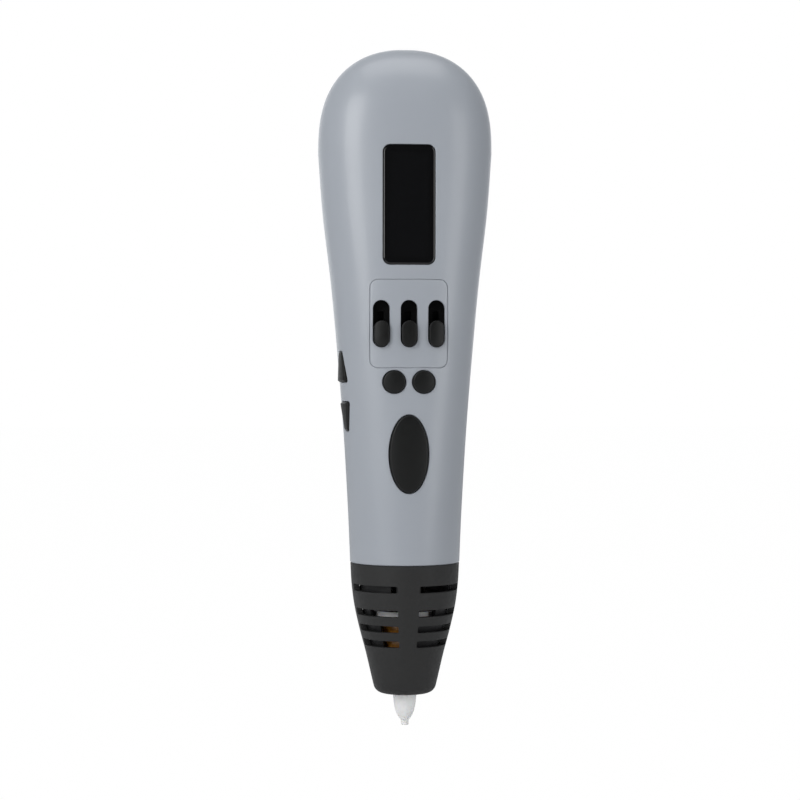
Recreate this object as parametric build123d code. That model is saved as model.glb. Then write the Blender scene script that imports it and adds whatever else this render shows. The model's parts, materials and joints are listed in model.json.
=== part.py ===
from build123d import *
import math
import os

# A hand-held 3-D printing pen, in millimetres.
# The origin is the end of the nozzle, on the filament's axis. +Z runs up the pen to the
# filament inlet, -Y is the front face with the window and the controls, and the two
# arrow keys are on the -X side.

# ---------------------------------------------------------------- driving dimensions
PEN_LENGTH = 184.0
CAP_TOP_Z = 44.5            # joint between the black nozzle cap and the grey housing
WIDEST_Z = 155.5            # height of the widest section, where the dome begins
HEAD_HALF_WIDTH = 23.6
HEAD_HALF_DEPTH = 16.0
NECK_HALF_WIDTH = 14.9      # the housing is round here, and as wide as it is deep
DOME_RISE_POWER = 2.7       # the dome's profile is a superellipse with these two powers
DOME_REACH_POWER = 2.13
HEAD_SECTION_POWER = 2.6    # superellipse power of the head's cross-section
WALL = 2.0
LEDGE = 1.3                 # depth of the recesses that the window and the plate sit in
GAP = 0.15                  # hairline gap round every moving control

FILAMENT_BORE_R = 1.0
GUIDE_TUBE_R = 1.8

WINDOW_WIDTH = 14.0
WINDOW_HEIGHT = 31.9
WINDOW_Z = 140.5
WINDOW_CORNER_R = 1.7

PLATE_WIDTH = 20.8
PLATE_HEIGHT = 23.5
PLATE_CORNER_R = 2.2
SLIDER_Z = 108.9            # middle of the plate and of its three slots
SLOT_WIDTH = 4.5
SLOT_LENGTH = 12.6
SLIDER_PITCH = 7.35
SLIDER_TRAVEL = 5.3
KNOB_WIDTH = 4.0
KNOB_LENGTH = 7.0
KNOB_REST_Z = 106.2
NECK_WIDTH = 3.8
NECK_LENGTH = 6.8
NECK_INNER_Y = -12.2

ROUND_BUTTON_R = 3.0
ROUND_BUTTON_PITCH = 7.9
ROUND_BUTTON_Z = 93.4
OVAL_WIDTH = 10.5
OVAL_HEIGHT = 20.8
OVAL_Z = 74.2
BUTTON_PROUD = 0.7
BUTTON_TRAVEL = 0.5
BUTTON_DEPTH = WALL + 0.9   # how far a front button's flange reaches below the skin
KEY_DEPTH = WALL + 0.6      # the same for an arrow key
FLANGE_LIP = 0.6

BOARD_FRONT_Y = -8.2
BOARD_REAR_Y = -7.0
BOARD_BOTTOM_Z = 63.0
BOARD_STEP_Z = 98.0
BOARD_TOP_Z = 168.0
BOARD_LOWER_HALF_WIDTH = 10.0
BOARD_UPPER_HALF_WIDTH = 13.0

TACT_SIZE = 4.5
TACT_HEIGHT = 2.2
PLUNGER_R = 1.0
PLUNGER_TIP = 3.1           # plunger's end above the board
PLUNGER_ROOT = 1.8          # plunger's other end above the board

SIDE_BOARD_FACE_X = -10.0
SIDE_BOARD_THICKNESS = 1.0
SIDE_BUTTON_Y = -5.4
SIDE_SWITCH_Y = -4.6        # the stems and switches behind the arrow keys
SIDE_BASE_HALF = 3.0
SIDE_TIP_HALF = 1.4
UP_APEX_Z = 101.7
UP_BASE_Z = 93.5
DOWN_BASE_Z = 88.1
DOWN_APEX_Z = 80.3

GEAR_MODULE = 0.5
FEED_TEETH = 20
PINION_TEETH = 16
GEAR_CENTRES = GEAR_MODULE * (FEED_TEETH + PINION_TEETH) / 2
MOTOR_ANGLE = 20.0          # direction of the motor's axis from the filament's axis
MOTOR_X = GEAR_CENTRES * math.cos(math.radians(MOTOR_ANGLE))
MOTOR_Y = GEAR_CENTRES * math.sin(math.radians(MOTOR_ANGLE))
MOTOR_R = 6.0
SHAFT_R = 1.5
SLEEVE_R = 2.8
RUNNING_GAP = 0.06

PLATE_LOW_Z = 110.0         # feeder bracket: underside of its lower plate
PLATE_TOP_Z = 125.0         # and top of its upper plate, where the motor stands
PLATE_THICKNESS = 2.0

CAP_WALL = 1.7
CAP_BOTTOM_Z = 8.9
VENT_HEIGHT = 1.8
VENT_ROWS = (38.0, 31.5, 27.2, 23.1)
VENT_SPAN = 66.0            # degrees of arc of one vent
FRONT_RIB = 24.0            # degrees left solid at the front and at the back

NOZZLE_R = 3.25
NOZZLE_BORE_R = 0.35
HEATER_R = 7.0
COLLAR_R = 8.8
BARREL_R = 4.6
LEAD_X = 5.4

JACK_X = 9.5
JACK_Y = 5.0
JACK_R = 4.2
JACK_TOP_Z = 178.3

FAR = 40.0                  # further out than any surface of the pen


# ---------------------------------------------------------------- small helpers
def post(r, z0, z1, x=0.0, y=0.0):
    """Round bar along Z."""
    return Pos(x, y, (z0 + z1) / 2) * Cylinder(r, z1 - z0)


def ring(r_out, r_in, z0, z1, x=0.0, y=0.0):
    """Round tube along Z."""
    return post(r_out, z0, z1, x, y) - post(r_in, z0 - 1, z1 + 1, x, y)


def bar_y(r, y0, y1, x, z):
    """Round bar along Y."""
    return Pos(x, (y0 + y1) / 2, z) * Rot(90, 0, 0) * Cylinder(r, y1 - y0)


def bar_x(r, x0, x1, y, z):
    """Round bar along X."""
    return Pos((x0 + x1) / 2, y, z) * Rot(0, 90, 0) * Cylinder(r, x1 - x0)


def block(x0, x1, y0, y1, z0, z1):
    """Box between two corners."""
    middle = Pos((x0 + x1) / 2, (y0 + y1) / 2, (z0 + z1) / 2)
    return middle * Box(x1 - x0, y1 - y0, z1 - z0)


def front_prism(outline, y0=-FAR, y1=-8.0):
    """A front-view outline carried through from y0 back to y1."""
    return extrude(Plane.XZ.offset(-y1) * outline, amount=y1 - y0)


def side_prism(outline, x0=-FAR, x1=-8.0):
    """An outline in the YZ plane carried from x1 out to x0, on the -X side."""
    return extrude(Plane.YZ.offset(x1) * outline, amount=x0 - x1)


def revolved(points):
    """Solid of revolution about Z from (radius, height) corners."""
    outline = Plane.XZ * make_face(Polyline(*points, close=True))
    return revolve(outline, Axis.Z)


# ---------------------------------------------------------------- housing envelope
# Half-widths of the housing between the neck and its widest section.
BODY_STATIONS = (
    (38.0, 14.7),
    (CAP_TOP_Z, NECK_HALF_WIDTH),
    (60.0, 15.55),
    (80.0, 16.7),
    (100.0, 18.25),
    (120.0, 20.1),
    (140.0, 22.45),
    (WIDEST_Z, HEAD_HALF_WIDTH),
)
DOME_ANGLES = (14, 28, 42, 55, 66, 75, 82)
SECTION_POINTS = 28
SQUARING_TOP_Z = 105.0      # the round neck has turned into the head's section here


def half_depth(z):
    rise = (z - CAP_TOP_Z) / (WIDEST_Z - CAP_TOP_Z)
    return NECK_HALF_WIDTH + (HEAD_HALF_DEPTH - NECK_HALF_WIDTH) * rise


def section_power(z):
    rise = (z - CAP_TOP_Z) / (SQUARING_TOP_Z - CAP_TOP_Z)
    rise = min(max(rise, 0.0), 1.0)
    return 2.0 + (HEAD_SECTION_POWER - 2.0) * rise


def section(z, half_x, half_y, power):
    """Horizontal superellipse."""
    points = []
    for i in range(SECTION_POINTS):
        angle = 2 * math.pi * i / SECTION_POINTS
        c = math.cos(angle)
        s = math.sin(angle)
        scale = (abs(c) ** power + abs(s) ** power) ** (-1 / power)
        points.append((half_x * scale * c, half_y * scale * s, z))
    return make_face(Spline(*points, periodic=True))


def envelope(inset):
    """Whole outer form of the housing, shrunk all round by inset."""
    faces = []
    for z, half_width in BODY_STATIONS:
        faces.append(section(z, half_width - inset, half_depth(z) - inset, section_power(z)))
    dome_height = PEN_LENGTH - WIDEST_Z - inset
    for degrees in DOME_ANGLES:
        angle = math.radians(degrees)
        reach = math.cos(angle) ** (2 / DOME_REACH_POWER)
        z = WIDEST_Z + dome_height * math.sin(angle) ** (2 / DOME_RISE_POWER)
        half_x = (HEAD_HALF_WIDTH - inset) * reach
        half_y = (HEAD_HALF_DEPTH - inset) * reach
        faces.append(section(z, half_x, half_y, HEAD_SECTION_POWER))
    return loft(faces)


INSETS = (0.0, 0.1, LEDGE, WALL, WALL + GAP, KEY_DEPTH, BUTTON_DEPTH, -BUTTON_PROUD, -0.3, -1.5)
ENVELOPES = {inset: envelope(inset) for inset in INSETS}


def layer(prism, outer, inner):
    """The part of a prism that lies between two depths below the skin."""
    return (prism & ENVELOPES[outer]) - ENVELOPES[inner]


# ---------------------------------------------------------------- outlines of the controls
def window_outline(grow=0.0):
    return Pos(0, WINDOW_Z) * RectangleRounded(
        WINDOW_WIDTH + 2 * grow, WINDOW_HEIGHT + 2 * grow, WINDOW_CORNER_R + grow
    )


def plate_outline(grow=0.0):
    return Pos(0, SLIDER_Z) * RectangleRounded(
        PLATE_WIDTH + 2 * grow, PLATE_HEIGHT + 2 * grow, PLATE_CORNER_R + grow
    )


def oval_outline(grow=0.0):
    return Pos(0, OVAL_Z) * Ellipse(OVAL_WIDTH / 2 + grow, OVAL_HEIGHT / 2 + grow)


def round_outline(x, grow=0.0):
    return Pos(x, ROUND_BUTTON_Z) * Circle(ROUND_BUTTON_R + grow)


def arrow_outline(apex_z, base_z, grow=0.0):
    """Blunt triangle in the YZ plane, with rounded corners."""
    up = 1 if apex_z > base_z else -1
    corners = (
        (SIDE_BUTTON_Y - SIDE_BASE_HALF, base_z),
        (SIDE_BUTTON_Y + SIDE_BASE_HALF, base_z),
        (SIDE_BUTTON_Y + SIDE_TIP_HALF, apex_z),
        (SIDE_BUTTON_Y - SIDE_TIP_HALF, apex_z),
    )
    face = make_face(Polyline(*corners, close=True))
    face = fillet(face.vertices(), 0.5)
    if grow:
        face = offset(face, grow)
    return face


SLIDERS = {
    "left": -SLIDER_PITCH,
    "middle": 0.0,
    "right": SLIDER_PITCH,
}
ROUND_BUTTONS = {
    "left": -ROUND_BUTTON_PITCH / 2,
    "right": ROUND_BUTTON_PITCH / 2,
}
SIDE_BUTTONS = {
    "up": (UP_APEX_Z, UP_BASE_Z),
    "down": (DOWN_APEX_Z, DOWN_BASE_Z),
}
HOUSING_SCREWS = ((-9.5, 57.0), (9.5, 57.0), (-16.0, 160.0), (16.0, 160.0))
BOARD_SCREWS = ((-11.2, 121.0), (11.2, 121.0), (-11.2, 153.0), (11.2, 153.0))
FEEDER_SCREWS = ((-3.5, 106.7), (9.5, 106.7))


# ---------------------------------------------------------------- housing shells
BOSS_R = 2.6
LOCK_RIB_Z = (47.0, 48.5)
LOCK_RIB_R = 12.0
FERRULE_BOSS_Z = 174.0


def shell_half(front):
    """One half of the grey housing, with the features that both halves share."""
    half_space = block(-FAR, FAR, -FAR, 0, CAP_TOP_Z, 200)
    if not front:
        half_space = block(-FAR, FAR, 0, FAR, CAP_TOP_Z, 200)
    half = (ENVELOPES[0.0] - ENVELOPES[WALL]) & half_space
    lock_rib = ring(13.4, LOCK_RIB_R, *LOCK_RIB_Z)
    ferrule_boss = post(4.6, FERRULE_BOSS_Z, PEN_LENGTH)
    extras = lock_rib + ferrule_boss
    for x, z in HOUSING_SCREWS:
        extras += bar_y(BOSS_R, -FAR / 2, FAR / 2, x, z)
    half += extras & ENVELOPES[0.1] & half_space
    half -= post(FERRULE_BODY_R + 0.05, 170, 190)
    half -= post(FERRULE_FLANGE_R + 0.05, FERRULE_FLANGE_Z, 190)
    return half


def make_front_shell():
    shell = shell_half(front=True)
    for x, z in BOARD_SCREWS:
        boss = bar_y(2.0, -FAR / 2, BOARD_FRONT_Y, x, z)
        shell += boss & ENVELOPES[0.1]
        shell -= bar_y(0.85, BOARD_FRONT_Y - 3.2, 0, x, z)
    for x, z in HOUSING_SCREWS:
        shell -= bar_y(0.95, -6.5, 1, x, z)
    shell -= front_prism(window_outline(0.05)) - ENVELOPES[LEDGE]
    shell -= front_prism(window_outline(-1.1))
    shell -= front_prism(plate_outline(GAP)) - ENVELOPES[LEDGE]
    shell -= front_prism(Pos(0, SLIDER_Z) * RectangleRounded(19.5, 20.5, 1.2))
    for x in ROUND_BUTTONS.values():
        shell -= front_prism(round_outline(x, GAP))
    shell -= front_prism(oval_outline(GAP))
    for apex_z, base_z in SIDE_BUTTONS.values():
        shell -= side_prism(arrow_outline(apex_z, base_z, GAP), x1=-12.0)
    return shell


SCREW_HEAD_SEAT_Y = {57.0: 9.3, 160.0: 10.0}


def make_rear_shell():
    shell = shell_half(front=False)
    jack_boss = post(JACK_R + 1.4, 168.5, PEN_LENGTH, JACK_X, JACK_Y)
    shell += jack_boss & ENVELOPES[0.1] & block(-FAR, FAR, 0, FAR, 0, 200)
    shell -= post(JACK_R + 0.1, 160, 200, JACK_X, JACK_Y)
    for x, z in FEEDER_SCREWS:
        boss = bar_y(2.4, BRACKET_WALL_Y[1], FAR / 2, x, z)
        shell += boss & ENVELOPES[0.1]
        shell -= bar_y(1.0, 0, 12.5, x, z)
    for x, z in HOUSING_SCREWS:
        shell -= bar_y(1.25, -1, FAR, x, z)
        shell -= bar_y(2.2, SCREW_HEAD_SEAT_Y[z], FAR, x, z)
    return shell


def countersunk_screw(shank_r, head_r, head_height, length):
    """Pan-head screw along +Z: head above z=0, shank below it, with a cross recess."""
    screw = post(shank_r, -length, 0) + post(head_r, 0, head_height)
    recess = block(-head_r * 0.6, head_r * 0.6, -0.2, 0.2, head_height * 0.45, head_height + 1)
    screw -= recess
    screw -= Rot(0, 0, 90) * recess
    return screw


def make_housing_screws():
    screws = []
    for x, z in HOUSING_SCREWS:
        seat = SCREW_HEAD_SEAT_Y[z]
        screw = Rot(-90, 0, 0) * countersunk_screw(0.9, 2.0, 1.3, seat + 6.2)
        screws.append(Pos(x, seat, z) * screw)
    return Compound(children=screws)


# ---------------------------------------------------------------- window, plate and display
def make_display_window():
    return layer(front_prism(window_outline()), 0.1, LEDGE)


def make_switch_plate():
    plate = layer(front_prism(plate_outline()), 0.0, LEDGE)
    for x in SLIDERS.values():
        slot = Pos(x, SLIDER_Z) * SlotOverall(SLOT_LENGTH, SLOT_WIDTH, rotation=90)
        plate -= front_prism(slot)
    return plate


DISPLAY_FRONT_Y = -12.9
DISPLAY_BACK_Y = -10.6


def make_display_frame():
    low = WINDOW_Z - 17.0
    high = WINDOW_Z + 17.0
    frame = block(-7.5, 7.5, DISPLAY_FRONT_Y, BOARD_FRONT_Y, low, high)
    frame -= block(-6.4, 6.4, -FAR, DISPLAY_BACK_Y, WINDOW_Z - 15.3, WINDOW_Z + 15.3)
    frame -= block(-5.2, 5.2, -FAR, 0, WINDOW_Z - 13.0, WINDOW_Z + 13.0)
    return frame


def make_display_module():
    return block(-6.3, 6.3, DISPLAY_FRONT_Y, DISPLAY_BACK_Y, WINDOW_Z - 15.2, WINDOW_Z + 15.2)


def make_display_header():
    """Row of pins from the back of the display to the main board."""
    pins = []
    for i in range(5):
        x = -4.0 + 2.0 * i
        pins.append(bar_y(0.3, DISPLAY_BACK_Y, BOARD_FRONT_Y, x, WINDOW_Z + 10.0))
    return Compound(children=pins)


# ---------------------------------------------------------------- main board
def make_main_board():
    corners = (
        (-BOARD_LOWER_HALF_WIDTH, BOARD_BOTTOM_Z),
        (BOARD_LOWER_HALF_WIDTH, BOARD_BOTTOM_Z),
        (BOARD_LOWER_HALF_WIDTH, BOARD_STEP_Z),
        (BOARD_UPPER_HALF_WIDTH, BOARD_STEP_Z + 6),
        (BOARD_UPPER_HALF_WIDTH, BOARD_TOP_Z),
        (-BOARD_UPPER_HALF_WIDTH, BOARD_TOP_Z),
        (-BOARD_UPPER_HALF_WIDTH, BOARD_STEP_Z + 6),
        (-BOARD_LOWER_HALF_WIDTH, BOARD_STEP_Z),
    )
    outline = make_face(Polyline(*corners, close=True))
    board = front_prism(outline, BOARD_FRONT_Y, BOARD_REAR_Y)
    for x, z in BOARD_SCREWS:
        board -= bar_y(0.95, -FAR, FAR, x, z)
    return board


def make_board_screws():
    screws = []
    for x, z in BOARD_SCREWS:
        screw = Rot(-90, 0, 0) * countersunk_screw(0.8, 1.6, 1.0, 4.0)
        screws.append(Pos(x, BOARD_REAR_Y, z) * screw)
    return Compound(children=screws)


def on_board_rear(x, z, width, height, rise):
    """A component's body standing on the rear face of the main board."""
    body = Pos(x, BOARD_REAR_Y + rise / 2, z) * Box(width, rise, height)
    return body


def make_board_chips():
    """The controller near the buttons and the motor's driver near the motor."""
    controller = on_board_rear(0.0, 73.5, 7.0, 7.0, 1.2)
    driver = on_board_rear(-5.5, 130.0, 5.0, 4.0, 1.2)
    return Compound(children=[controller, driver])


def make_capacitors():
    cans = []
    for z in (139.5, 146.0):
        cans.append(bar_y(2.5, BOARD_REAR_Y, -1.5, -9.0, z))
    return Compound(children=cans)


HEATER_PLUG_Z = 66.5
MOTOR_PLUG_Z = 159.0
POWER_PLUG_Z = 165.5
PLUG_RISE = 3.0
PLUG_SIZE = 5.0


def make_wire_connectors():
    """Connectors for the heater, the thermistor, the motor and the power socket."""
    places = (
        (-LEAD_X, HEATER_PLUG_Z),
        (LEAD_X, HEATER_PLUG_Z),
        (MOTOR_X, MOTOR_PLUG_Z),
        (JACK_X, POWER_PLUG_Z),
    )
    plugs = []
    for x, z in places:
        plugs.append(on_board_rear(x, z, PLUG_SIZE, 4.0, PLUG_RISE))
    return Compound(children=plugs)


# ---------------------------------------------------------------- sliders
LEVER_SIZE = 1.4
SWITCH_FRONT_Y = -11.6
SWITCH_WIDTH = 5.4
SWITCH_LENGTH = 13.6


def make_slider_knob(x):
    neck = Pos(x, KNOB_REST_Z) * SlotOverall(NECK_LENGTH, NECK_WIDTH, rotation=90)
    head = Pos(x, KNOB_REST_Z) * SlotOverall(KNOB_LENGTH, KNOB_WIDTH, rotation=90)
    knob = front_prism(neck, y1=NECK_INNER_Y) & ENVELOPES[-0.3]
    knob += layer(front_prism(head), -1.5, -0.3)
    return knob


def make_slider_lever(x):
    inner_y = SWITCH_FRONT_Y + 1.6
    middle = Pos(x, (NECK_INNER_Y + inner_y) / 2, KNOB_REST_Z)
    return middle * Box(LEVER_SIZE, inner_y - NECK_INNER_Y, LEVER_SIZE)


def make_slide_switches():
    """Bodies of the three slide switches, each with the slot that its lever runs in."""
    middle_z = KNOB_REST_Z + SLIDER_TRAVEL / 2
    middle_y = (SWITCH_FRONT_Y + BOARD_FRONT_Y) / 2
    depth = BOARD_FRONT_Y - SWITCH_FRONT_Y
    slot_length = SLIDER_TRAVEL + LEVER_SIZE + 0.3
    slot_floor_y = SWITCH_FRONT_Y + 1.8
    switches = []
    for x in SLIDERS.values():
        body = Pos(x, middle_y, middle_z) * Box(SWITCH_WIDTH, depth, SWITCH_LENGTH)
        slot = Pos(x, slot_floor_y - 2.5, middle_z) * Box(LEVER_SIZE + 0.2, 5.0, slot_length)
        switches.append(body - slot)
    return Compound(children=switches)


# ---------------------------------------------------------------- push buttons
def make_front_button(outline, x, z, stem_r):
    """A button cap with a retaining flange and a stem that meets the switch plunger."""
    button = layer(front_prism(outline()), -BUTTON_PROUD, BUTTON_DEPTH)
    button += layer(front_prism(outline(FLANGE_LIP)), WALL + GAP, BUTTON_DEPTH)
    button += bar_y(stem_r, -13.0, BOARD_FRONT_Y - PLUNGER_TIP, x, z)
    return button


def front_switch_places():
    places = {}
    for name, x in ROUND_BUTTONS.items():
        places[f"round_{name}"] = (x, ROUND_BUTTON_Z)
    places["oval"] = (0.0, OVAL_Z)
    return places


def tact_switch():
    """Body of a push switch standing on z=0, with the well that its plunger moves in."""
    body = Pos(0, 0, TACT_HEIGHT / 2) * Box(TACT_SIZE, TACT_SIZE, TACT_HEIGHT)
    body -= post(PLUNGER_R + 0.1, PLUNGER_ROOT - BUTTON_TRAVEL - 0.2, 5)
    return body


def make_front_plunger(x, z):
    return bar_y(PLUNGER_R, BOARD_FRONT_Y - PLUNGER_TIP, BOARD_FRONT_Y - PLUNGER_ROOT, x, z)


# ---------------------------------------------------------------- arrow keys on the side
# (height, half-width) of two horizontal sections that each key's outer face runs through.
KEY_SECTIONS = {
    "up": ((92.0, 18.55), (103.0, 18.55)),
    "down": ((79.0, 16.7), (89.0, 18.0)),
}
KEY_HALF_DEPTH = 15.4
KEY_SECTION_POWER = 2.5


def side_switch_z(name):
    apex_z, base_z = SIDE_BUTTONS[name]
    return base_z + (apex_z - base_z) * 0.35


def make_side_button(name):
    apex_z, base_z = SIDE_BUTTONS[name]
    sections = []
    for z, half_width in KEY_SECTIONS[name]:
        sections.append(section(z, half_width, KEY_HALF_DEPTH, KEY_SECTION_POWER))
    button = side_prism(arrow_outline(apex_z, base_z)) & loft(sections)
    button -= ENVELOPES[KEY_DEPTH]
    flange = side_prism(arrow_outline(apex_z, base_z, FLANGE_LIP))
    button += layer(flange, WALL + GAP, KEY_DEPTH)
    stem_end = SIDE_BOARD_FACE_X - PLUNGER_TIP
    button += bar_x(1.2, -15.6, stem_end, SIDE_SWITCH_Y, side_switch_z(name))
    return button


def make_side_board():
    inner_x = SIDE_BOARD_FACE_X + SIDE_BOARD_THICKNESS
    return block(SIDE_BOARD_FACE_X, inner_x, BOARD_REAR_Y, -1.4, 78.0, 104.0)


def make_tact_switches():
    """The three push switches on the main board and the two on the side board."""
    bodies = []
    for x, z in front_switch_places().values():
        bodies.append(Pos(x, BOARD_FRONT_Y, z) * Rot(90, 0, 0) * tact_switch())
    for name in SIDE_BUTTONS:
        place = Pos(SIDE_BOARD_FACE_X, SIDE_SWITCH_Y, side_switch_z(name))
        bodies.append(place * Rot(0, -90, 0) * tact_switch())
    return Compound(children=bodies)


def make_side_plunger(name):
    tip = SIDE_BOARD_FACE_X - PLUNGER_TIP
    root = SIDE_BOARD_FACE_X - PLUNGER_ROOT
    return bar_x(PLUNGER_R, tip, root, SIDE_SWITCH_Y, side_switch_z(name))


# ---------------------------------------------------------------- feeder
PRESSURE_ANGLE = math.radians(20)
BACKLASH = 0.10
GEAR_Z = (114.5, 120.0)
PINION_Z = (114.0, 120.5)
BRACKET_WALL_Y = (7.8, 9.2)
BUSH_R = 4.0


def involute(angle):
    return math.tan(angle) - angle


def spur_gear(teeth, z0, z1, tooth_at, bore_r):
    """Spur gear about Z with one tooth centred on the direction tooth_at, in degrees."""
    pitch_r = GEAR_MODULE * teeth / 2
    base_r = pitch_r * math.cos(PRESSURE_ANGLE)
    tip_r = pitch_r + 0.9 * GEAR_MODULE
    root_r = pitch_r - 1.25 * GEAR_MODULE
    half_at_pitch = math.pi / (2 * teeth) - BACKLASH / (2 * pitch_r)
    flank = [(root_r, half_at_pitch + involute(PRESSURE_ANGLE))]
    steps = 4
    for i in range(steps + 1):
        r = base_r + (tip_r - base_r) * i / steps
        half = half_at_pitch + involute(PRESSURE_ANGLE) - involute(math.acos(base_r / r))
        flank.append((r, half))
    corners = []
    for tooth in range(teeth):
        middle = math.radians(tooth_at) + 2 * math.pi * tooth / teeth
        rising = [(r, middle - half) for r, half in flank]
        falling = [(r, middle + half) for r, half in reversed(flank)]
        for r, angle in rising + falling:
            corners.append((r * math.cos(angle), r * math.sin(angle)))
    gear = Pos(0, 0, z0) * extrude(make_face(Polyline(*corners, close=True)), amount=z1 - z0)
    return gear - post(bore_r, z0 - 1, z1 + 1)


def make_feed_gear():
    gear = spur_gear(FEED_TEETH, *GEAR_Z, MOTOR_ANGLE, SLEEVE_R)
    gear += ring(3.6, SLEEVE_R, 112.7, GEAR_Z[0])
    gear += ring(3.6, SLEEVE_R, GEAR_Z[1], 122.3)
    return gear


def make_feed_sleeve():
    sleeve = ring(SLEEVE_R, 0.95, 108.0, 126.5)
    for z in (108.0, 126.5):
        sleeve -= Pos(0, 0, z) * Sphere(1.6)
    return sleeve


def make_pinion():
    gap_direction = MOTOR_ANGLE + 180 + 180 / PINION_TEETH
    return Pos(MOTOR_X, MOTOR_Y) * spur_gear(PINION_TEETH, *PINION_Z, gap_direction, SHAFT_R)


def make_motor_shaft():
    return post(SHAFT_R, 113.4, 130.0, MOTOR_X, MOTOR_Y)


def make_motor_gearbox():
    box = post(MOTOR_R, PLATE_TOP_Z, 134.0, MOTOR_X, MOTOR_Y)
    box += post(2.4, PLATE_TOP_Z - 1.0, PLATE_TOP_Z, MOTOR_X, MOTOR_Y)
    box -= post(SHAFT_R + RUNNING_GAP, 100, 130.4, MOTOR_X, MOTOR_Y)
    for x, y in motor_screw_places():
        box -= post(0.75, 100, PLATE_TOP_Z + 2.2, x, y)
    return box


def make_motor_can():
    return post(MOTOR_R - 0.1, 134.0, 149.0, MOTOR_X, MOTOR_Y)


def make_motor_end_cap():
    cap = post(5.2, 149.0, 151.0, MOTOR_X, MOTOR_Y)
    cap += post(1.0, 151.0, 152.0, MOTOR_X, MOTOR_Y)
    return cap


MOTOR_TERMINAL_OFFSET = 2.0


def make_motor_terminals():
    tags = []
    for side in (-1, 1):
        x = MOTOR_X + side * MOTOR_TERMINAL_OFFSET
        tags.append(block(x - 0.9, x + 0.9, MOTOR_Y - 0.2, MOTOR_Y + 0.2, 151.0, 154.0))
    return Compound(children=tags)


def motor_screw_places():
    across = math.radians(MOTOR_ANGLE + 120)
    places = []
    for side in (-1, 1):
        x = MOTOR_X + side * 4.4 * math.cos(across)
        y = MOTOR_Y + side * 4.4 * math.sin(across)
        places.append((x, y))
    return places


def make_motor_screws():
    screws = []
    for x, y in motor_screw_places():
        screw = Rot(180, 0, 0) * countersunk_screw(0.7, 1.2, 0.9, 4.0)
        screws.append(Pos(x, y, PLATE_TOP_Z - PLATE_THICKNESS) * screw)
    return Compound(children=screws)


def bracket_plate(z0):
    plate = post(6.6, z0, z0 + PLATE_THICKNESS)
    plate += post(6.8, z0, z0 + PLATE_THICKNESS, MOTOR_X, MOTOR_Y)
    plate += block(-6.0, 12.0, 0.0, BRACKET_WALL_Y[1], z0, z0 + PLATE_THICKNESS)
    return plate


def make_feeder_bracket():
    bracket = bracket_plate(PLATE_LOW_Z) + bracket_plate(PLATE_TOP_Z - PLATE_THICKNESS)
    bracket += block(-6.0, 12.0, *BRACKET_WALL_Y, 104.0, PLATE_TOP_Z)
    bracket -= post(BUSH_R, 100, 130)
    bracket -= post(2.5, 100, 130, MOTOR_X, MOTOR_Y)
    for x, y in motor_screw_places():
        bracket -= post(0.8, 115, 130, x, y)
    for x, z in FEEDER_SCREWS:
        bracket -= bar_y(1.05, 0, FAR, x, z)
    return bracket


def make_sleeve_bushes():
    inner_r = SLEEVE_R + RUNNING_GAP
    low_top = PLATE_LOW_Z + PLATE_THICKNESS
    high_bottom = PLATE_TOP_Z - PLATE_THICKNESS
    lower = ring(BUSH_R, inner_r, PLATE_LOW_Z, low_top)
    lower += ring(4.8, inner_r, low_top, low_top + 0.6)
    upper = ring(BUSH_R, inner_r, high_bottom, PLATE_TOP_Z)
    upper += ring(4.8, inner_r, high_bottom - 0.6, high_bottom)
    return Compound(children=[lower, upper])


def make_feeder_screws():
    screws = []
    for x, z in FEEDER_SCREWS:
        screw = Rot(90, 0, 0) * countersunk_screw(0.95, 1.9, 1.2, 4.4)
        screws.append(Pos(x, BRACKET_WALL_Y[0], z) * screw)
    return Compound(children=screws)


# ---------------------------------------------------------------- filament path and power
FERRULE_BODY_R = 2.6
FERRULE_FLANGE_R = 3.2
FERRULE_FLANGE_Z = 182.0
FERRULE_TOP_Z = 183.3
INLET_BORE_R = 1.5
HEAT_BREAK_HEAD_Z = (52.0, 58.0)


def make_inlet_ferrule():
    top = FERRULE_TOP_Z
    return revolved(
        (
            (INLET_BORE_R + 0.7, top),
            (FERRULE_FLANGE_R - 0.2, top),
            (FERRULE_FLANGE_R, top - 0.2),
            (FERRULE_FLANGE_R, FERRULE_FLANGE_Z),
            (FERRULE_BODY_R, FERRULE_FLANGE_Z),
            (FERRULE_BODY_R, FERRULE_BOSS_Z),
            (FERRULE_FLANGE_R, FERRULE_BOSS_Z),
            (FERRULE_FLANGE_R, 172.4),
            (GUIDE_TUBE_R + 0.05, 172.4),
            (GUIDE_TUBE_R + 0.05, 177.0),
            (INLET_BORE_R, 177.0),
            (INLET_BORE_R, top - 0.8),
        )
    )


def make_guide_tube(z0, z1):
    return ring(GUIDE_TUBE_R, FILAMENT_BORE_R, z0, z1)


JACK_FLOOR_Z = 169.5
JACK_PIN_FOOT_R = 1.2


def make_power_jack():
    jack = post(JACK_R, 167.0, JACK_TOP_Z, JACK_X, JACK_Y)
    jack -= post(2.85, JACK_FLOOR_Z, 200, JACK_X, JACK_Y)
    jack -= post(JACK_PIN_FOOT_R, 160, 200, JACK_X, JACK_Y)
    return jack


def make_jack_pin():
    pin = post(JACK_PIN_FOOT_R, 166.0, JACK_FLOOR_Z, JACK_X, JACK_Y)
    pin += post(1.0, JACK_FLOOR_Z, 177.4, JACK_X, JACK_Y)
    pin += Pos(JACK_X, JACK_Y, 177.4) * Sphere(1.0)
    return pin


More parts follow.
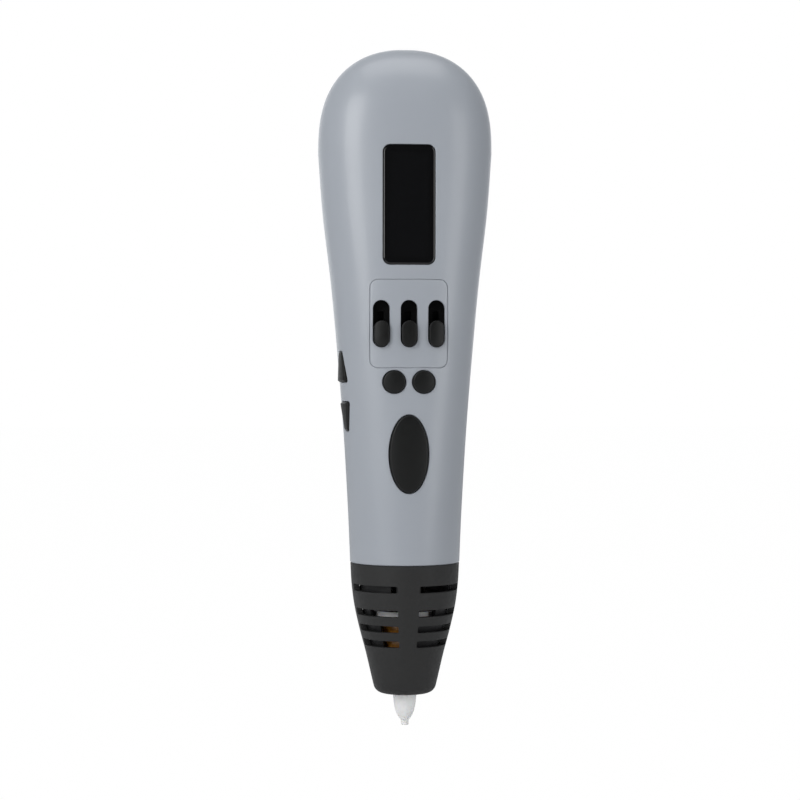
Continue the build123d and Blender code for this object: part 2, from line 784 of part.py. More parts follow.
# ---------------------------------------------------------------- hot end
# Outline of the nozzle cap, as (radius, height), from its top edge down.
CAP_OUTLINE = (
    (14.85, CAP_TOP_Z),
    (14.55, 39.0),
    (13.8, 33.0),
    (12.4, 26.6),
    (10.65, 20.0),
    (9.1, 13.4),
    (8.03, CAP_BOTTOM_Z),
)
CAP_EDGE_R = 1.9
CAP_FLOOR_INNER_R = 6.0
SPIGOT_R = 12.7
SPIGOT_BOTTOM_Z = 39.8
SKIRT_Z = 36.2
SKIRT_NOTCHES = ((-22, 7), (16, 52), (158, 7), (196, 52))
# Outer radius and height of the mount's thin heat shield, which runs close behind the cap's wall.
SHIELD_OUTLINE = ((12.2, SKIRT_Z + 0.2), (11.45, 31.5), (10.6, 27.2), (9.5, 23.1), (9.1, 21.5))
SHIELD_THICKNESS = 0.7
SHIELD_STEP_Z = 29.0
# Start and span, in degrees, of the shield's right and left sides above and below its step.
SHIELD_ABOVE_STEP = ((42, 80), (238, 64))
SHIELD_BELOW_STEP = ((8, 114), (238, 80))
COLLAR_Z = (29.8, 31.5)


def make_nozzle_cap():
    hole_r = NOZZLE_R + 0.25
    floor_top = CAP_BOTTOM_Z + CAP_WALL
    side = Spline(*CAP_OUTLINE)
    inner = [(r - CAP_WALL, z) for r, z in CAP_OUTLINE[1:-1]]
    inner.append((CAP_FLOOR_INNER_R, floor_top))
    inner_side = Spline(*inner)
    floor = Polyline(CAP_OUTLINE[-1], (hole_r, CAP_BOTTOM_Z), (hole_r, floor_top), inner[-1])
    mouth = Polyline(
        inner[0],
        (SPIGOT_R + 0.05, SPIGOT_BOTTOM_Z - 0.2),
        (SPIGOT_R + 0.05, CAP_TOP_Z),
        CAP_OUTLINE[0],
    )
    outline = make_face([*side.edges(), *floor.edges(), *inner_side.edges(), *mouth.edges()])
    cap = revolve(Plane.XZ * outline, Axis.Z)
    bottom_edge = cap.edges().filter_by(GeomType.CIRCLE).group_by(Axis.Z)[0].sort_by(SortBy.RADIUS)[-1]
    cap = fillet(bottom_edge, CAP_EDGE_R)
    for z in VENT_ROWS:
        for start in (FRONT_RIB / 2, 180 - FRONT_RIB / 2 - VENT_SPAN):
            for turn in (0, 180):
                low = z - VENT_HEIGHT / 2
                cap -= sector(7.8, FAR, low, low + VENT_HEIGHT, start + turn, VENT_SPAN)
    return cap


def sector(r_in, r_out, z0, z1, start, span):
    """Arc-shaped block. Angles are in degrees from the front, -Y, towards +X."""
    profile = Plane.XZ * make_face(
        Polyline((r_in, z0), (r_out, z0), (r_out, z1), (r_in, z1), close=True)
    )
    return Rot(0, 0, start - 90) * revolve(profile, Axis.Z, revolution_arc=span)


def make_hot_end_mount():
    """Bulkhead that closes the housing, carries the hot end and holds the cap."""
    mount = post(SPIGOT_R, SPIGOT_BOTTOM_Z, 46.8)
    mount += post(LOCK_RIB_R - 0.05, 46.8, 48.7)
    mount += post(12.6, 48.7, 50.5)
    mount += post(3.6, 35.5, SPIGOT_BOTTOM_Z)
    mount += ring(12.3, 11.0, SKIRT_Z, SPIGOT_BOTTOM_Z)
    for start, span in SKIRT_NOTCHES:
        mount -= sector(10.5, FAR, 30.0, SPIGOT_BOTTOM_Z - 0.4, start, span)
    mount -= post(2.05, 30, 60)
    for side in (-1, 1):
        mount -= post(1.9, 30, 60, side * LEAD_X)
    inner = [(r - SHIELD_THICKNESS, z) for r, z in reversed(SHIELD_OUTLINE)]
    shield = revolved((*SHIELD_OUTLINE, *inner))
    for span in SHIELD_ABOVE_STEP:
        mount += shield & sector(5.0, FAR, SHIELD_STEP_Z, SKIRT_Z + 1.0, *span)
    for span in SHIELD_BELOW_STEP:
        mount += shield & sector(5.0, FAR, 20.0, SHIELD_STEP_Z, *span)
    return mount


def make_heat_break_tube():
    tube = post(2.0, 30.0, HEAT_BREAK_HEAD_Z[0]) + post(3.0, *HEAT_BREAK_HEAD_Z)
    tube -= post(1.1, 20, 60)
    tube -= post(GUIDE_TUBE_R + 0.05, HEAT_BREAK_HEAD_Z[0] + 2, 60)
    return tube


def make_heater_barrel():
    barrel = post(BARREL_R, 12.0, 32.2) + post(3.4, 32.2, 34.5)
    barrel -= post(NOZZLE_R + 0.05, 10, 16.2)
    barrel -= post(1.1, 10, 35)
    barrel -= post(2.05, 29.8, 36)
    return barrel


def make_heater_wrap():
    return revolved(
        (
            (BARREL_R, 18.0),
            (HEATER_R - 0.8, 18.0),
            (HEATER_R, 19.0),
            (HEATER_R, 29.0),
            (HEATER_R - 0.4, 29.8),
            (BARREL_R, 29.8),
        )
    )


def make_ceramic_collar():
    return ring(COLLAR_R, BARREL_R, *COLLAR_Z)


def make_nozzle_tip():
    """Ceramic nozzle: a short round tip, a convex taper and a straight neck."""
    taper = Spline((1.05, 1.3), (1.5, 1.5), (2.45, 3.6), (2.9, 5.4), (NOZZLE_R, 9.0))
    rest = Polyline(
        (NOZZLE_R, 9.0),
        (NOZZLE_R, 16.0),
        (1.1, 16.0),
        (1.1, 2.6),
        (NOZZLE_BORE_R, 1.5),
        (NOZZLE_BORE_R, 0),
        (1.05, 0),
        (1.05, 1.3),
    )
    outline = make_face([*taper.edges(), *rest.edges()])
    return revolve(Plane.XZ * outline, Axis.Z)


def lead(points, r, bend):
    path = FilletPolyline(*points, radius=bend)
    start = Plane(origin=path @ 0, z_dir=path % 0)
    return sweep(start * Circle(r), path)


def make_heater_leads():
    leads = []
    for y in (-0.8, 0.8):
        route = (
            (-LEAD_X, y, COLLAR_Z[1]),
            (-LEAD_X, y, 55.0),
            (-LEAD_X, y * 1.2 - 5.2, 60.5),
            (-LEAD_X, y * 1.2 - 5.2, 64.5),
        )
        leads.append(lead(route, 0.6, 3.0))
    return Compound(children=leads)


def make_thermistor():
    """Glass bead on the hot barrel, above the collar."""
    return post(0.8, COLLAR_Z[1], 34.2, LEAD_X, 0)


def make_thermistor_leads():
    leads = []
    for y in (-0.45, 0.45):
        route = (
            (LEAD_X, y, 34.2),
            (LEAD_X, y, 55.0),
            (LEAD_X, y - 5.2, 60.5),
            (LEAD_X, y - 5.2, 64.5),
        )
        leads.append(lead(route, 0.3, 3.0))
    return Compound(children=leads)


def make_motor_leads():
    leads = []
    for side in (-1, 1):
        x = MOTOR_X + side * MOTOR_TERMINAL_OFFSET
        route = (
            (x, MOTOR_Y, 154.0),
            (x, MOTOR_Y, MOTOR_PLUG_Z),
            (x, BOARD_REAR_Y + PLUG_RISE, MOTOR_PLUG_Z),
        )
        leads.append(lead(route, 0.45, 2.0))
    return leads


def make_power_leads():
    leads = []
    for side in (-1, 1):
        x = JACK_X + side * 1.7
        route = (
            (x, JACK_Y, 167.0),
            (x, JACK_Y, POWER_PLUG_Z - 1.5),
            (x, BOARD_REAR_Y + PLUG_RISE, POWER_PLUG_Z - 1.5),
        )
        leads.append(lead(route, 0.5, 1.6))
    return leads


# ---------------------------------------------------------------- the whole pen
def make_parts():
    parts = {
        "front_shell": make_front_shell(),
        "rear_shell": make_rear_shell(),
        "housing_screws": make_housing_screws(),
        "nozzle_cap": make_nozzle_cap(),
        "display_window": make_display_window(),
        "display_frame": make_display_frame(),
        "display_module": make_display_module(),
        "display_header": make_display_header(),
        "switch_plate": make_switch_plate(),
        "slide_switches": make_slide_switches(),
        "main_board": make_main_board(),
        "board_screws": make_board_screws(),
        "board_chips": make_board_chips(),
        "capacitors": make_capacitors(),
        "wire_connectors": make_wire_connectors(),
        "tact_switches": make_tact_switches(),
        "side_board": make_side_board(),
        "feeder_bracket": make_feeder_bracket(),
        "feeder_screws": make_feeder_screws(),
        "sleeve_bushes": make_sleeve_bushes(),
        "feed_sleeve": make_feed_sleeve(),
        "feed_gear": make_feed_gear(),
        "drive_pinion": make_pinion(),
        "motor_shaft": make_motor_shaft(),
        "motor_gearbox": make_motor_gearbox(),
        "motor_can": make_motor_can(),
        "motor_end_cap": make_motor_end_cap(),
        "motor_terminals": make_motor_terminals(),
        "motor_screws": make_motor_screws(),
        "supply_leads": Compound(children=make_motor_leads() + make_power_leads()),
        "inlet_ferrule": make_inlet_ferrule(),
        "guide_tube_upper": make_guide_tube(127.0, 177.0),
        "guide_tube_lower": make_guide_tube(HEAT_BREAK_HEAD_Z[0] + 2, 107.5),
        "power_jack": make_power_jack(),
        "jack_pin": make_jack_pin(),
        "hot_end_mount": make_hot_end_mount(),
        "heat_break_tube": make_heat_break_tube(),
        "heater_barrel": make_heater_barrel(),
        "heater_wrap": make_heater_wrap(),
        "ceramic_collar": make_ceramic_collar(),
        "heater_leads": make_heater_leads(),
        "thermistor": make_thermistor(),
        "thermistor_leads": make_thermistor_leads(),
        "nozzle_tip": make_nozzle_tip(),
    }
    for name, x in SLIDERS.items():
        parts[f"slider_knob_{name}"] = make_slider_knob(x)
        parts[f"slider_lever_{name}"] = make_slider_lever(x)
    for name, x in ROUND_BUTTONS.items():
        parts[f"round_button_{name}"] = make_front_button(
            lambda grow=0.0, x=x: round_outline(x, grow), x, ROUND_BUTTON_Z, 1.3
        )
    parts["oval_button"] = make_front_button(oval_outline, 0.0, OVAL_Z, 1.6)
    for name, (x, z) in front_switch_places().items():
        parts[f"plunger_{name}"] = make_front_plunger(x, z)
    for name in SIDE_BUTTONS:
        parts[f"side_button_{name}"] = make_side_button(name)
        parts[f"plunger_side_{name}"] = make_side_plunger(name)
    return parts


os.makedirs("parts", exist_ok=True)
for node, shape in make_parts().items():
    export_step(shape, f"parts/{node}.step")
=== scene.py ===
import json
import math

import bmesh
import bpy
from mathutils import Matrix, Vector


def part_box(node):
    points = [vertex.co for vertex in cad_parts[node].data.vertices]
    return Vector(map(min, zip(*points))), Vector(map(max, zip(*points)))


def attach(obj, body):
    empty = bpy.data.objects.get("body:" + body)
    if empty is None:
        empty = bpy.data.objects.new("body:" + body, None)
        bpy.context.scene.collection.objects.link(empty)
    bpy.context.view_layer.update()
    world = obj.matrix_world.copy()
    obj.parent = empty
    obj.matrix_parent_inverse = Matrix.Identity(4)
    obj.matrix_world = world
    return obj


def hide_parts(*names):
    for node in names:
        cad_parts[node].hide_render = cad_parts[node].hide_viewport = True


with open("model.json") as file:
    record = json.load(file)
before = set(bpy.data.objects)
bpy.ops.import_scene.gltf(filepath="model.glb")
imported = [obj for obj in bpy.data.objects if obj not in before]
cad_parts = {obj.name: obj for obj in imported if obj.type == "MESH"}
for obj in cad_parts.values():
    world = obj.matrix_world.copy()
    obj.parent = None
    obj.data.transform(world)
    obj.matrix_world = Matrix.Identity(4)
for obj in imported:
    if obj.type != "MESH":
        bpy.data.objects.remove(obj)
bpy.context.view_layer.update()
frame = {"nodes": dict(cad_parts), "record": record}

# The pen is modelled here in millimetres, in the CAD frame: nozzle tip at the origin, +Z up the pen,
# -Y out of its front face, the arrow keys on -X. MM turns a length into Blender's metres.
MM = 0.001


def node_box(node):
    """Lowest and highest corners of a CAD node, in millimetres."""
    low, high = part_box(node)
    return low / MM, high / MM


def node_middle(node):
    """Middle of a CAD node's box, in millimetres."""
    low, high = node_box(node)
    return (low + high) / 2


# ------------------------------------------------------------------ sizes taken from the frame
SHELL_LOW, SHELL_HIGH = node_box("rear_shell")
CAP_BOTTOM_Z = node_box("nozzle_cap")[0].z
CAP_TOP_Z = SHELL_LOW.z
HEAD_HALF_WIDTH = -SHELL_LOW.x
HEAD_HALF_DEPTH = SHELL_HIGH.y

# ------------------------------------------------------------------ form of the housing
WIDEST_Z = 155.5
SQUARING_TOP_Z = 105.0
PEN_LENGTH = 184.0
DOME_RISE_POWER = 2.7
DOME_REACH_POWER = 2.13
NECK_SECTION_POWER = 2.0
HEAD_SECTION_POWER = 2.6
NECK_HALF_WIDTH = 14.9
WALL = 2.0
LEDGE = 1.3
GAP = 0.15
DOME_HEIGHT = PEN_LENGTH - WIDEST_Z
BODY_STATIONS = (
    (38.0, 14.7),
    (CAP_TOP_Z, NECK_HALF_WIDTH),
    (60.0, 15.55),
    (80.0, 16.7),
    (100.0, 18.25),
    (120.0, 20.1),
    (140.0, 22.45),
    (WIDEST_Z, HEAD_HALF_WIDTH),
)


def smooth_through(points, x):
    """Value at x of a smooth curve through (x, value) points with rising x."""
    slopes = []
    last = len(points) - 1
    for i in range(last + 1):
        before = points[max(i - 1, 0)]
        after = points[min(i + 1, last)]
        slopes.append((after[1] - before[1]) / (after[0] - before[0]))
    i = 0
    while i < last - 1 and x > points[i + 1][0]:
        i += 1
    (x0, y0), (x1, y1) = points[i], points[i + 1]
    span = x1 - x0
    t = (x - x0) / span
    rise = y0 * (2 * t**3 - 3 * t**2 + 1) + y1 * (3 * t**2 - 2 * t**3)
    return rise + span * (slopes[i] * (t**3 - 2 * t**2 + t) + slopes[i + 1] * (t**3 - t**2))


def dome_reach(z):
    """How much of the widest section is left at height z of the dome."""
    rise = min(max((z - WIDEST_Z) / DOME_HEIGHT, 0.0), 1.0)
    return (1 - rise**DOME_RISE_POWER) ** (1 / DOME_REACH_POWER)


def half_width(z):
    if z > WIDEST_Z:
        return HEAD_HALF_WIDTH * dome_reach(z)
    return smooth_through(BODY_STATIONS, z)


def half_depth(z):
    if z > WIDEST_Z:
        return HEAD_HALF_DEPTH * dome_reach(z)
    rise = (z - CAP_TOP_Z) / (WIDEST_Z - CAP_TOP_Z)
    return NECK_HALF_WIDTH + (HEAD_HALF_DEPTH - NECK_HALF_WIDTH) * rise


def section_power(z):
    """Power of the superellipse section: round at the neck, squarer towards the head."""
    rise = (z - CAP_TOP_Z) / (SQUARING_TOP_Z - CAP_TOP_Z)
    return NECK_SECTION_POWER + (HEAD_SECTION_POWER - NECK_SECTION_POWER) * min(max(rise, 0.0), 1.0)


def front_skin(u, v, h):
    """Point h above the front skin at x = u, z = v."""
    n = section_power(v)
    across = min(abs(u) / half_width(v), 1.0)
    return (u, -half_depth(v) * (1 - across**n) ** (1 / n) - h, v)


def rear_skin(u, v, h):
    """Point h above the rear skin at x = u, z = v."""
    x, y, z = front_skin(u, v, h)
    return (x, -y, z)


def side_skin(u, v, h):
    """Point h above the -X side skin at y = u, z = v."""
    n = section_power(v)
    across = min(abs(u) / half_depth(v), 1.0)
    return (-half_width(v) * (1 - across**n) ** (1 / n) - h, u, v)


def top_skin(u, v, h):
    """Point h above the dome at x = u, y = v."""
    n = HEAD_SECTION_POWER
    reach = (abs(u / HEAD_HALF_WIDTH) ** n + abs(v / HEAD_HALF_DEPTH) ** n) ** (1 / n)
    rise = (1 - reach**DOME_REACH_POWER) ** (1 / DOME_RISE_POWER)
    return (u, v, WIDEST_Z + DOME_HEIGHT * rise + h)


# ------------------------------------------------------------------ mesh building
SHARP_DEGREES = 32
FLARE_DEGREES = 75
ABOVE_SKIN = 0.6
WELD_DISTANCE = 1e-7
ELLIPSE_POINTS = 96


def mesh_object(name, verts, faces):
    """Closed mesh from millimetre points, outward faces, smooth where it is smooth."""
    mesh = bpy.data.meshes.new(name)
    mesh.from_pydata([Vector(p) * MM for p in verts], [], faces)
    bm = bmesh.new()
    bm.from_mesh(mesh)
    bmesh.ops.remove_doubles(bm, verts=bm.verts, dist=WELD_DISTANCE)
    bmesh.ops.recalc_face_normals(bm, faces=bm.faces)
    bm.to_mesh(mesh)
    bm.free()
    shade(mesh)
    piece = bpy.data.objects.new(name, mesh)
    bpy.context.scene.collection.objects.link(piece)
    return piece


def shade(mesh):
    mesh.shade_smooth()
    mesh.set_sharp_from_angle(angle=math.radians(SHARP_DEGREES))


def rounded(centres, radius, arc_steps, side_steps=8):
    """Outline round circles of one radius, as a function of its offset. Centres run counterclockwise."""

    def outline(offset=0.0):
        r = radius + offset
        if len(centres) == 1:
            count = 4 * arc_steps
            turns = [2 * math.pi * (k + 0.5) / count for k in range(count)]
            return [(centres[0][0] + r * math.cos(a), centres[0][1] + r * math.sin(a)) for a in turns]
        arcs = []
        for i, (u, v) in enumerate(centres):
            before = centres[i - 1]
            after = centres[(i + 1) % len(centres)]
            start = math.atan2(before[0] - u, v - before[1])
            end = math.atan2(u - after[0], after[1] - v)
            while end <= start:
                end += 2 * math.pi
            turns = [start + (end - start) * k / arc_steps for k in range(arc_steps + 1)]
            arcs.append([(u + r * math.cos(a), v + r * math.sin(a)) for a in turns])
        points = []
        for i, arc in enumerate(arcs):
            points += arc
            u0, v0 = arc[-1]
            u1, v1 = arcs[(i + 1) % len(arcs)][0]
            for k in range(1, side_steps):
                t = k / side_steps
                points.append((u0 + (u1 - u0) * t, v0 + (v1 - v0) * t))
        return points

    return outline


def box_outline(u, v, width, height, radius, arc_steps=8, side_steps=14):
    """Rounded rectangle about (u, v)."""
    half_u = width / 2 - radius
    half_v = height / 2 - radius
    turns = ((1, -1), (1, 1), (-1, 1), (-1, -1))
    corners = [(u + half_u * right, v + half_v * up) for right, up in turns]
    return rounded(corners, radius, arc_steps, side_steps)


def slot_outline(u, v, width, height):
    """Upright stadium about (u, v)."""
    reach = (height - width) / 2
    return rounded([(u, v - reach), (u, v + reach)], width / 2, 20, 8)


def ellipse_outline(u, v, half_u, half_v):
    """Ellipse about (u, v), as a function of its offset."""

    def outline(offset=0.0):
        turns = [2 * math.pi * k / ELLIPSE_POINTS for k in range(ELLIPSE_POINTS)]
        return [(u + (half_u + offset) * math.cos(a), v + (half_v + offset) * math.sin(a)) for a in turns]

    return outline


def ring_on(surface, points, height):
    """A height is a distance above the surface, or ("at", value) for a flat floor at that depth."""
    if isinstance(height, tuple):
        level = height[1]
        axis = 2 if surface is top_skin else 1
        ring = []
        for u, v in points:
            place = list(surface(u, v, 0.0))
            place[axis] = level
            ring.append(tuple(place))
        return ring
    return [surface(u, v, height) for u, v in points]


def pad(name, surface, outline, profile, crown=0.0, crown_steps=8):
    """Closed solid on a surface: rings of (offset, height) from its base up, then a crowned top."""
    rings = [ring_on(surface, outline(offset), height) for offset, height in profile]
    top_offset, top_height = profile[-1]
    edge = outline(top_offset)
    centre_u = sum(p[0] for p in edge) / len(edge)
    centre_v = sum(p[1] for p in edge) / len(edge)
    for k in range(crown_steps - 1, 0, -1):
        t = k / crown_steps
        points = [(centre_u + (u - centre_u) * t, centre_v + (v - centre_v) * t) for u, v in edge]
        height = top_height + crown * (1 - t * t)
        rings.append(ring_on(surface, points, height))
    count = len(edge)
    verts = [p for ring in rings for p in ring]
    base_centre = tuple(sum(p[i] for p in rings[0]) / count for i in range(3))
    verts += [base_centre, surface(centre_u, centre_v, top_height + crown)]
    faces = []
    for r in range(len(rings) - 1):
        low = r * count
        for k in range(count):
            after = (k + 1) % count
            faces.append((low + k, low + after, low + count + after, low + count + k))
    top = (len(rings) - 1) * count
    for k in range(count):
        after = (k + 1) % count
        faces.append((len(verts) - 2, after, k))
        faces.append((len(verts) - 1, top + k, top + after))
    return mesh_object(name, verts, faces)


def rounded_rim(height, radius, steps):
    """Profile points of an edge rounded inward from the side of a pad to its top."""
    points = []
    for k in range(steps + 1):
        a = math.pi / 2 * k / steps
        points.append((-radius * (1 - math.cos(a)), height - radius * (1 - math.sin(a))))
    return points


def flared(offset, radius, steps=4):
    """Profile points that round an opening's edge outward to the skin, and run on above it."""
    points = []
    for k in range(steps + 1):
        a = math.radians(FLARE_DEGREES) * k / steps
        points.append((offset + radius * (1 - math.cos(a)), -radius * (1 - math.sin(a))))
    points.append((offset + radius, ABOVE_SKIN))
    return points


def boolean(target, others, operation):
    """Joins the other solids to the target or cuts them out of it."""
    joined = others[0]
    if len(others) > 1:
        with bpy.context.temp_override(
            active_object=joined, selected_editable_objects=others, selected_objects=others
        ):
            bpy.ops.object.join()
    modifier = target.modifiers.new("cut", "BOOLEAN")
    modifier.operation = operation
    modifier.solver = "EXACT"
    modifier.object = joined
    evaluated = target.evaluated_get(bpy.context.evaluated_depsgraph_get())
    mesh = bpy.data.meshes.new_from_object(evaluated)
    target.modifiers.clear()
    target.data = mesh
    bpy.data.objects.remove(joined)
    shade(mesh)


def turned(name, profile, count):
    """Closed solid of revolution about Z from a closed loop of (radius, z)."""
    verts = []
    faces = []
    size = len(profile)
    for k in range(count):
        a = 2 * math.pi * k / count
        verts += [(r * math.sin(a), -r * math.cos(a), z) for r, z in profile]
    for k in range(count):
        here = k * size
        after = (k + 1) % count * size
        for i in range(size):
            j = (i + 1) % size
            faces.append((here + i, here + j, after + j, after + i))
    return mesh_object(name, verts, faces)


# ------------------------------------------------------------------ materials
NOISE_LOW = 0.3
NOISE_HIGH = 0.7
DRIFT_MM = 40.0
TURNED_LINES_MM = 0.12
TURNED_LINES_DEPTH_MM = 0.002
TAPE_TURN_MM = 2.6
TRACKS_PER_METRE = 900


def grey(level):
    """Neutral colour of that linear brightness."""
    return (level, level, level)


class Nodes:
    """A new material's node tree with its Principled shader and object coordinates."""

    def __init__(self, name):
        self.material = bpy.data.materials.new(name)
        self.material.use_nodes = True
        self.tree = self.material.node_tree
        self.shader = self.tree.nodes["Principled BSDF"]
        self.place = self.tree.nodes.new("ShaderNodeTexCoord").outputs["Object"]

    def add(self, kind, links=(), **values):
        """A new node, with its settings or socket values, and its sockets linked."""
        node = self.tree.nodes.new("ShaderNode" + kind)
        for key, value in values.items():
            if hasattr(node, key):
                setattr(node, key, value)
            else:
                node.inputs[key].default_value = value
        for socket, source in dict(links).items():
            self.tree.links.new(source, node.inputs[socket])
        return node

    def link(self, source, socket):
        self.tree.links.new(source, self.shader.inputs[socket])

    def noise(self, size_mm, detail=3.0, stretch=(1, 1, 1)):
        """Noise with features of about that size, as a 0..1 value."""
        scaled = self.add("Mapping", {"Vector": self.place}, Scale=[s / (size_mm * MM) for s in stretch])
        node = self.add("TexNoise", {"Vector": scaled.outputs["Vector"]})
        node.inputs["Scale"].default_value = 1.0
        node.inputs["Detail"].default_value = detail
        return node.outputs["Fac"]

    def between(self, value, low, high):
        """The usual range of a noise value spread onto low..high."""
        node = self.add("MapRange", {"Value": value})
        node.inputs["From Min"].default_value = NOISE_LOW
        node.inputs["From Max"].default_value = NOISE_HIGH
        node.inputs["To Min"].default_value = low
        node.inputs["To Max"].default_value = high
        return node.outputs["Result"]

    def blend(self, value, first, second):
        """Colour from first to second over the usual range of a noise value."""
        ramp = self.add("ValToRGB", {"Fac": value})
        ramp.color_ramp.elements[0].position = NOISE_LOW
        ramp.color_ramp.elements[0].color = (*first, 1)
        ramp.color_ramp.elements[1].position = NOISE_HIGH
        ramp.color_ramp.elements[1].color = (*second, 1)
        return ramp.outputs["Color"]

    def bump(self, height, depth_mm, under=None):
        """Relief of that depth, on top of another bump if one is given."""
        node = self.add("Bump", {"Height": height})
        node.inputs["Distance"].default_value = depth_mm * MM
        if under is not None:
            self.tree.links.new(under, node.inputs["Normal"])
        return node.outputs["Normal"]


def plastic(name, colour, other, rough, grain_mm, grain_depth_mm, specular=0.5, coat=0.0):
    """Moulded plastic: slow colour drift, fine grain and uneven gloss."""
    n = Nodes(name)
    drift = n.noise(DRIFT_MM, 2.0)
    n.link(n.blend(drift, colour, other), "Base Color")
    n.link(n.between(n.noise(grain_mm * 6, 4.0), *rough), "Roughness")
    fine = n.bump(n.noise(grain_mm, 2.0), grain_depth_mm)
    n.link(fine, "Normal")
    n.shader.inputs["Specular IOR Level"].default_value = specular
    n.shader.inputs["Coat Weight"].default_value = coat
    n.shader.inputs["Coat Roughness"].default_value = 0.12
    return n.material


def metal(name, colour, other, rough, stretch):
    """Machined or drawn metal with fine lines."""
    n = Nodes(name)
    lines = n.noise(TURNED_LINES_MM, 3.0, stretch)
    n.link(n.blend(lines, colour, other), "Base Color")
    n.link(n.between(n.noise(0.8, 3.0), *rough), "Roughness")
    n.link(n.bump(lines, TURNED_LINES_DEPTH_MM), "Normal")
    n.shader.inputs["Metallic"].default_value = 1.0
    return n.material


def make_window_glass():
    """Dark tinted lens, polished, with a barely visible display behind its black mask."""
    n = Nodes("window_black")
    low, high = node_box("display_module")
    split = n.add("SeparateXYZ", {"Vector": n.place})
    insides = []
    for axis, index, margin in (("X", 0, 1.2), ("Z", 2, 1.4)):
        away = n.add("Math", {0: split.outputs[axis]}, operation="SUBTRACT")
        away.inputs[1].default_value = node_middle("display_module")[index] * MM
        size = n.add("Math", {0: away.outputs[0]}, operation="ABSOLUTE")
        within = n.add("Math", {0: size.outputs[0]}, operation="LESS_THAN")
        within.inputs[1].default_value = ((high - low)[index] / 2 - margin) * MM
        insides.append(within.outputs[0])
    both = n.add("Math", {0: insides[0], 1: insides[1]}, operation="MULTIPLY")
    n.link(n.blend(both.outputs[0], (0.0024, 0.0024, 0.0028), (0.0032, 0.0033, 0.0038)), "Base Color")
    n.link(n.between(n.noise(9.0, 3.0), 0.045, 0.085), "Roughness")
    n.link(n.bump(n.noise(14.0, 1.0), 0.004), "Normal")
    n.shader.inputs["Specular IOR Level"].default_value = 0.45
    return n.material


def make_ceramic():
    """Matt white ceramic with a fine speckle."""
    n = Nodes("ceramic_white")
    speckle = n.noise(0.25, 4.0)
    n.link(n.blend(n.noise(3.0, 3.0), (0.87, 0.87, 0.865), grey(0.93)), "Base Color")
    n.link(n.between(speckle, 0.34, 0.5), "Roughness")
    n.link(n.bump(speckle, 0.006), "Normal")
    n.shader.inputs["Subsurface Weight"].default_value = 0.15
    n.shader.inputs["Subsurface Radius"].default_value = (0.001, 0.0008, 0.0006)
    n.shader.inputs["Subsurface Scale"].default_value = 0.4
    return n.material


def make_amber_tape():
    """Glossy amber film, wound on so that its turns overlap."""
    n = Nodes("tape_amber")
    split = n.add("SeparateXYZ", {"Vector": n.place})
    turns = n.add("Math", {0: split.outputs["Z"]}, operation="MULTIPLY")
    turns.inputs[1].default_value = 1 / (TAPE_TURN_MM * MM)
    saw = n.add("Math", {0: turns.outputs[0]}, operation="FRACT")
    n.link(n.blend(n.noise(1.6, 3.0), (0.30, 0.115, 0.012), (0.46, 0.20, 0.03)), "Base Color")
    creases = n.bump(n.noise(0.9, 2.0, (1, 1, 3)), 0.03)
    n.link(n.bump(saw.outputs[0], 0.05, under=creases), "Normal")
    n.link(n.between(n.noise(0.7, 2.0), 0.16, 0.3), "Roughness")
    return n.material


def make_board():
    """Green solder mask with faint copper tracks under it."""
    n = Nodes("board_green")
    scaled = n.add("Mapping", {"Vector": n.place}, Scale=[TRACKS_PER_METRE] * 3)
    tracks = n.add("TexBrick", {"Vector": scaled.outputs[0]})
    n.link(n.blend(tracks.outputs["Fac"], (0.008, 0.075, 0.03), (0.016, 0.13, 0.055)), "Base Color")
    n.link(n.between(n.noise(1.0, 3.0), 0.28, 0.42), "Roughness")
    n.link(n.bump(tracks.outputs["Fac"], 0.03), "Normal")
    return n.material


# name: (first colour, second colour, roughness, grain size, grain depth, specular, coat)
PLASTICS = {
    "shell_grey": ((0.322, 0.345, 0.382), (0.338, 0.361, 0.397), (0.33, 0.41), 0.16, 0.0035, 0.5, 0.12),
    "cap_black": (grey(0.0155), grey(0.0205), (0.5, 0.62), 0.2, 0.02, 0.32),
    "button_black": ((0.0045, 0.0049, 0.0048), (0.0065, 0.0069, 0.0068), (0.34, 0.44), 0.15, 0.006, 0.24),
    "inner_black": (grey(0.003), grey(0.005), (0.5, 0.65), 0.3, 0.01, 0.1),
    "mount_grey": ((0.011, 0.011, 0.012), (0.016, 0.016, 0.017), (0.45, 0.6), 0.3, 0.012, 0.25),
    "display_glass": ((0.02, 0.024, 0.02), (0.03, 0.034, 0.03), (0.06, 0.1), 2.0, 0.001),
    "gear_nylon": ((0.68, 0.66, 0.58), (0.74, 0.72, 0.65), (0.38, 0.5), 0.4, 0.006),
    "ptfe_white": ((0.76, 0.76, 0.75), grey(0.82), (0.3, 0.4), 0.5, 0.004),
    "connector_cream": ((0.66, 0.63, 0.5), (0.72, 0.69, 0.57), (0.4, 0.5), 0.3, 0.008),
    "wire_red": ((0.28, 0.012, 0.01), (0.36, 0.02, 0.015), (0.35, 0.45), 0.3, 0.006),
    "wire_black": (grey(0.008), grey(0.014), (0.35, 0.45), 0.3, 0.006),
    "bead_glass": ((0.4, 0.22, 0.05), (0.5, 0.3, 0.08), (0.08, 0.14), 0.6, 0.004),
}
# name: (first colour, second colour, roughness, stretch of the machined lines)
METALS = {
    "steel": ((0.50, 0.50, 0.51), (0.62, 0.62, 0.63), (0.26, 0.4), (1, 1, 0.1)),
    "motor_steel": ((0.56, 0.56, 0.58), (0.68, 0.68, 0.7), (0.14, 0.24), (1, 1, 0.05)),
    "brass": ((0.56, 0.39, 0.14), (0.68, 0.5, 0.2), (0.22, 0.34), (1, 1, 0.2)),
    "aluminium": ((0.6, 0.6, 0.62), (0.72, 0.72, 0.74), (0.22, 0.34), (1, 0.1, 1)),
}


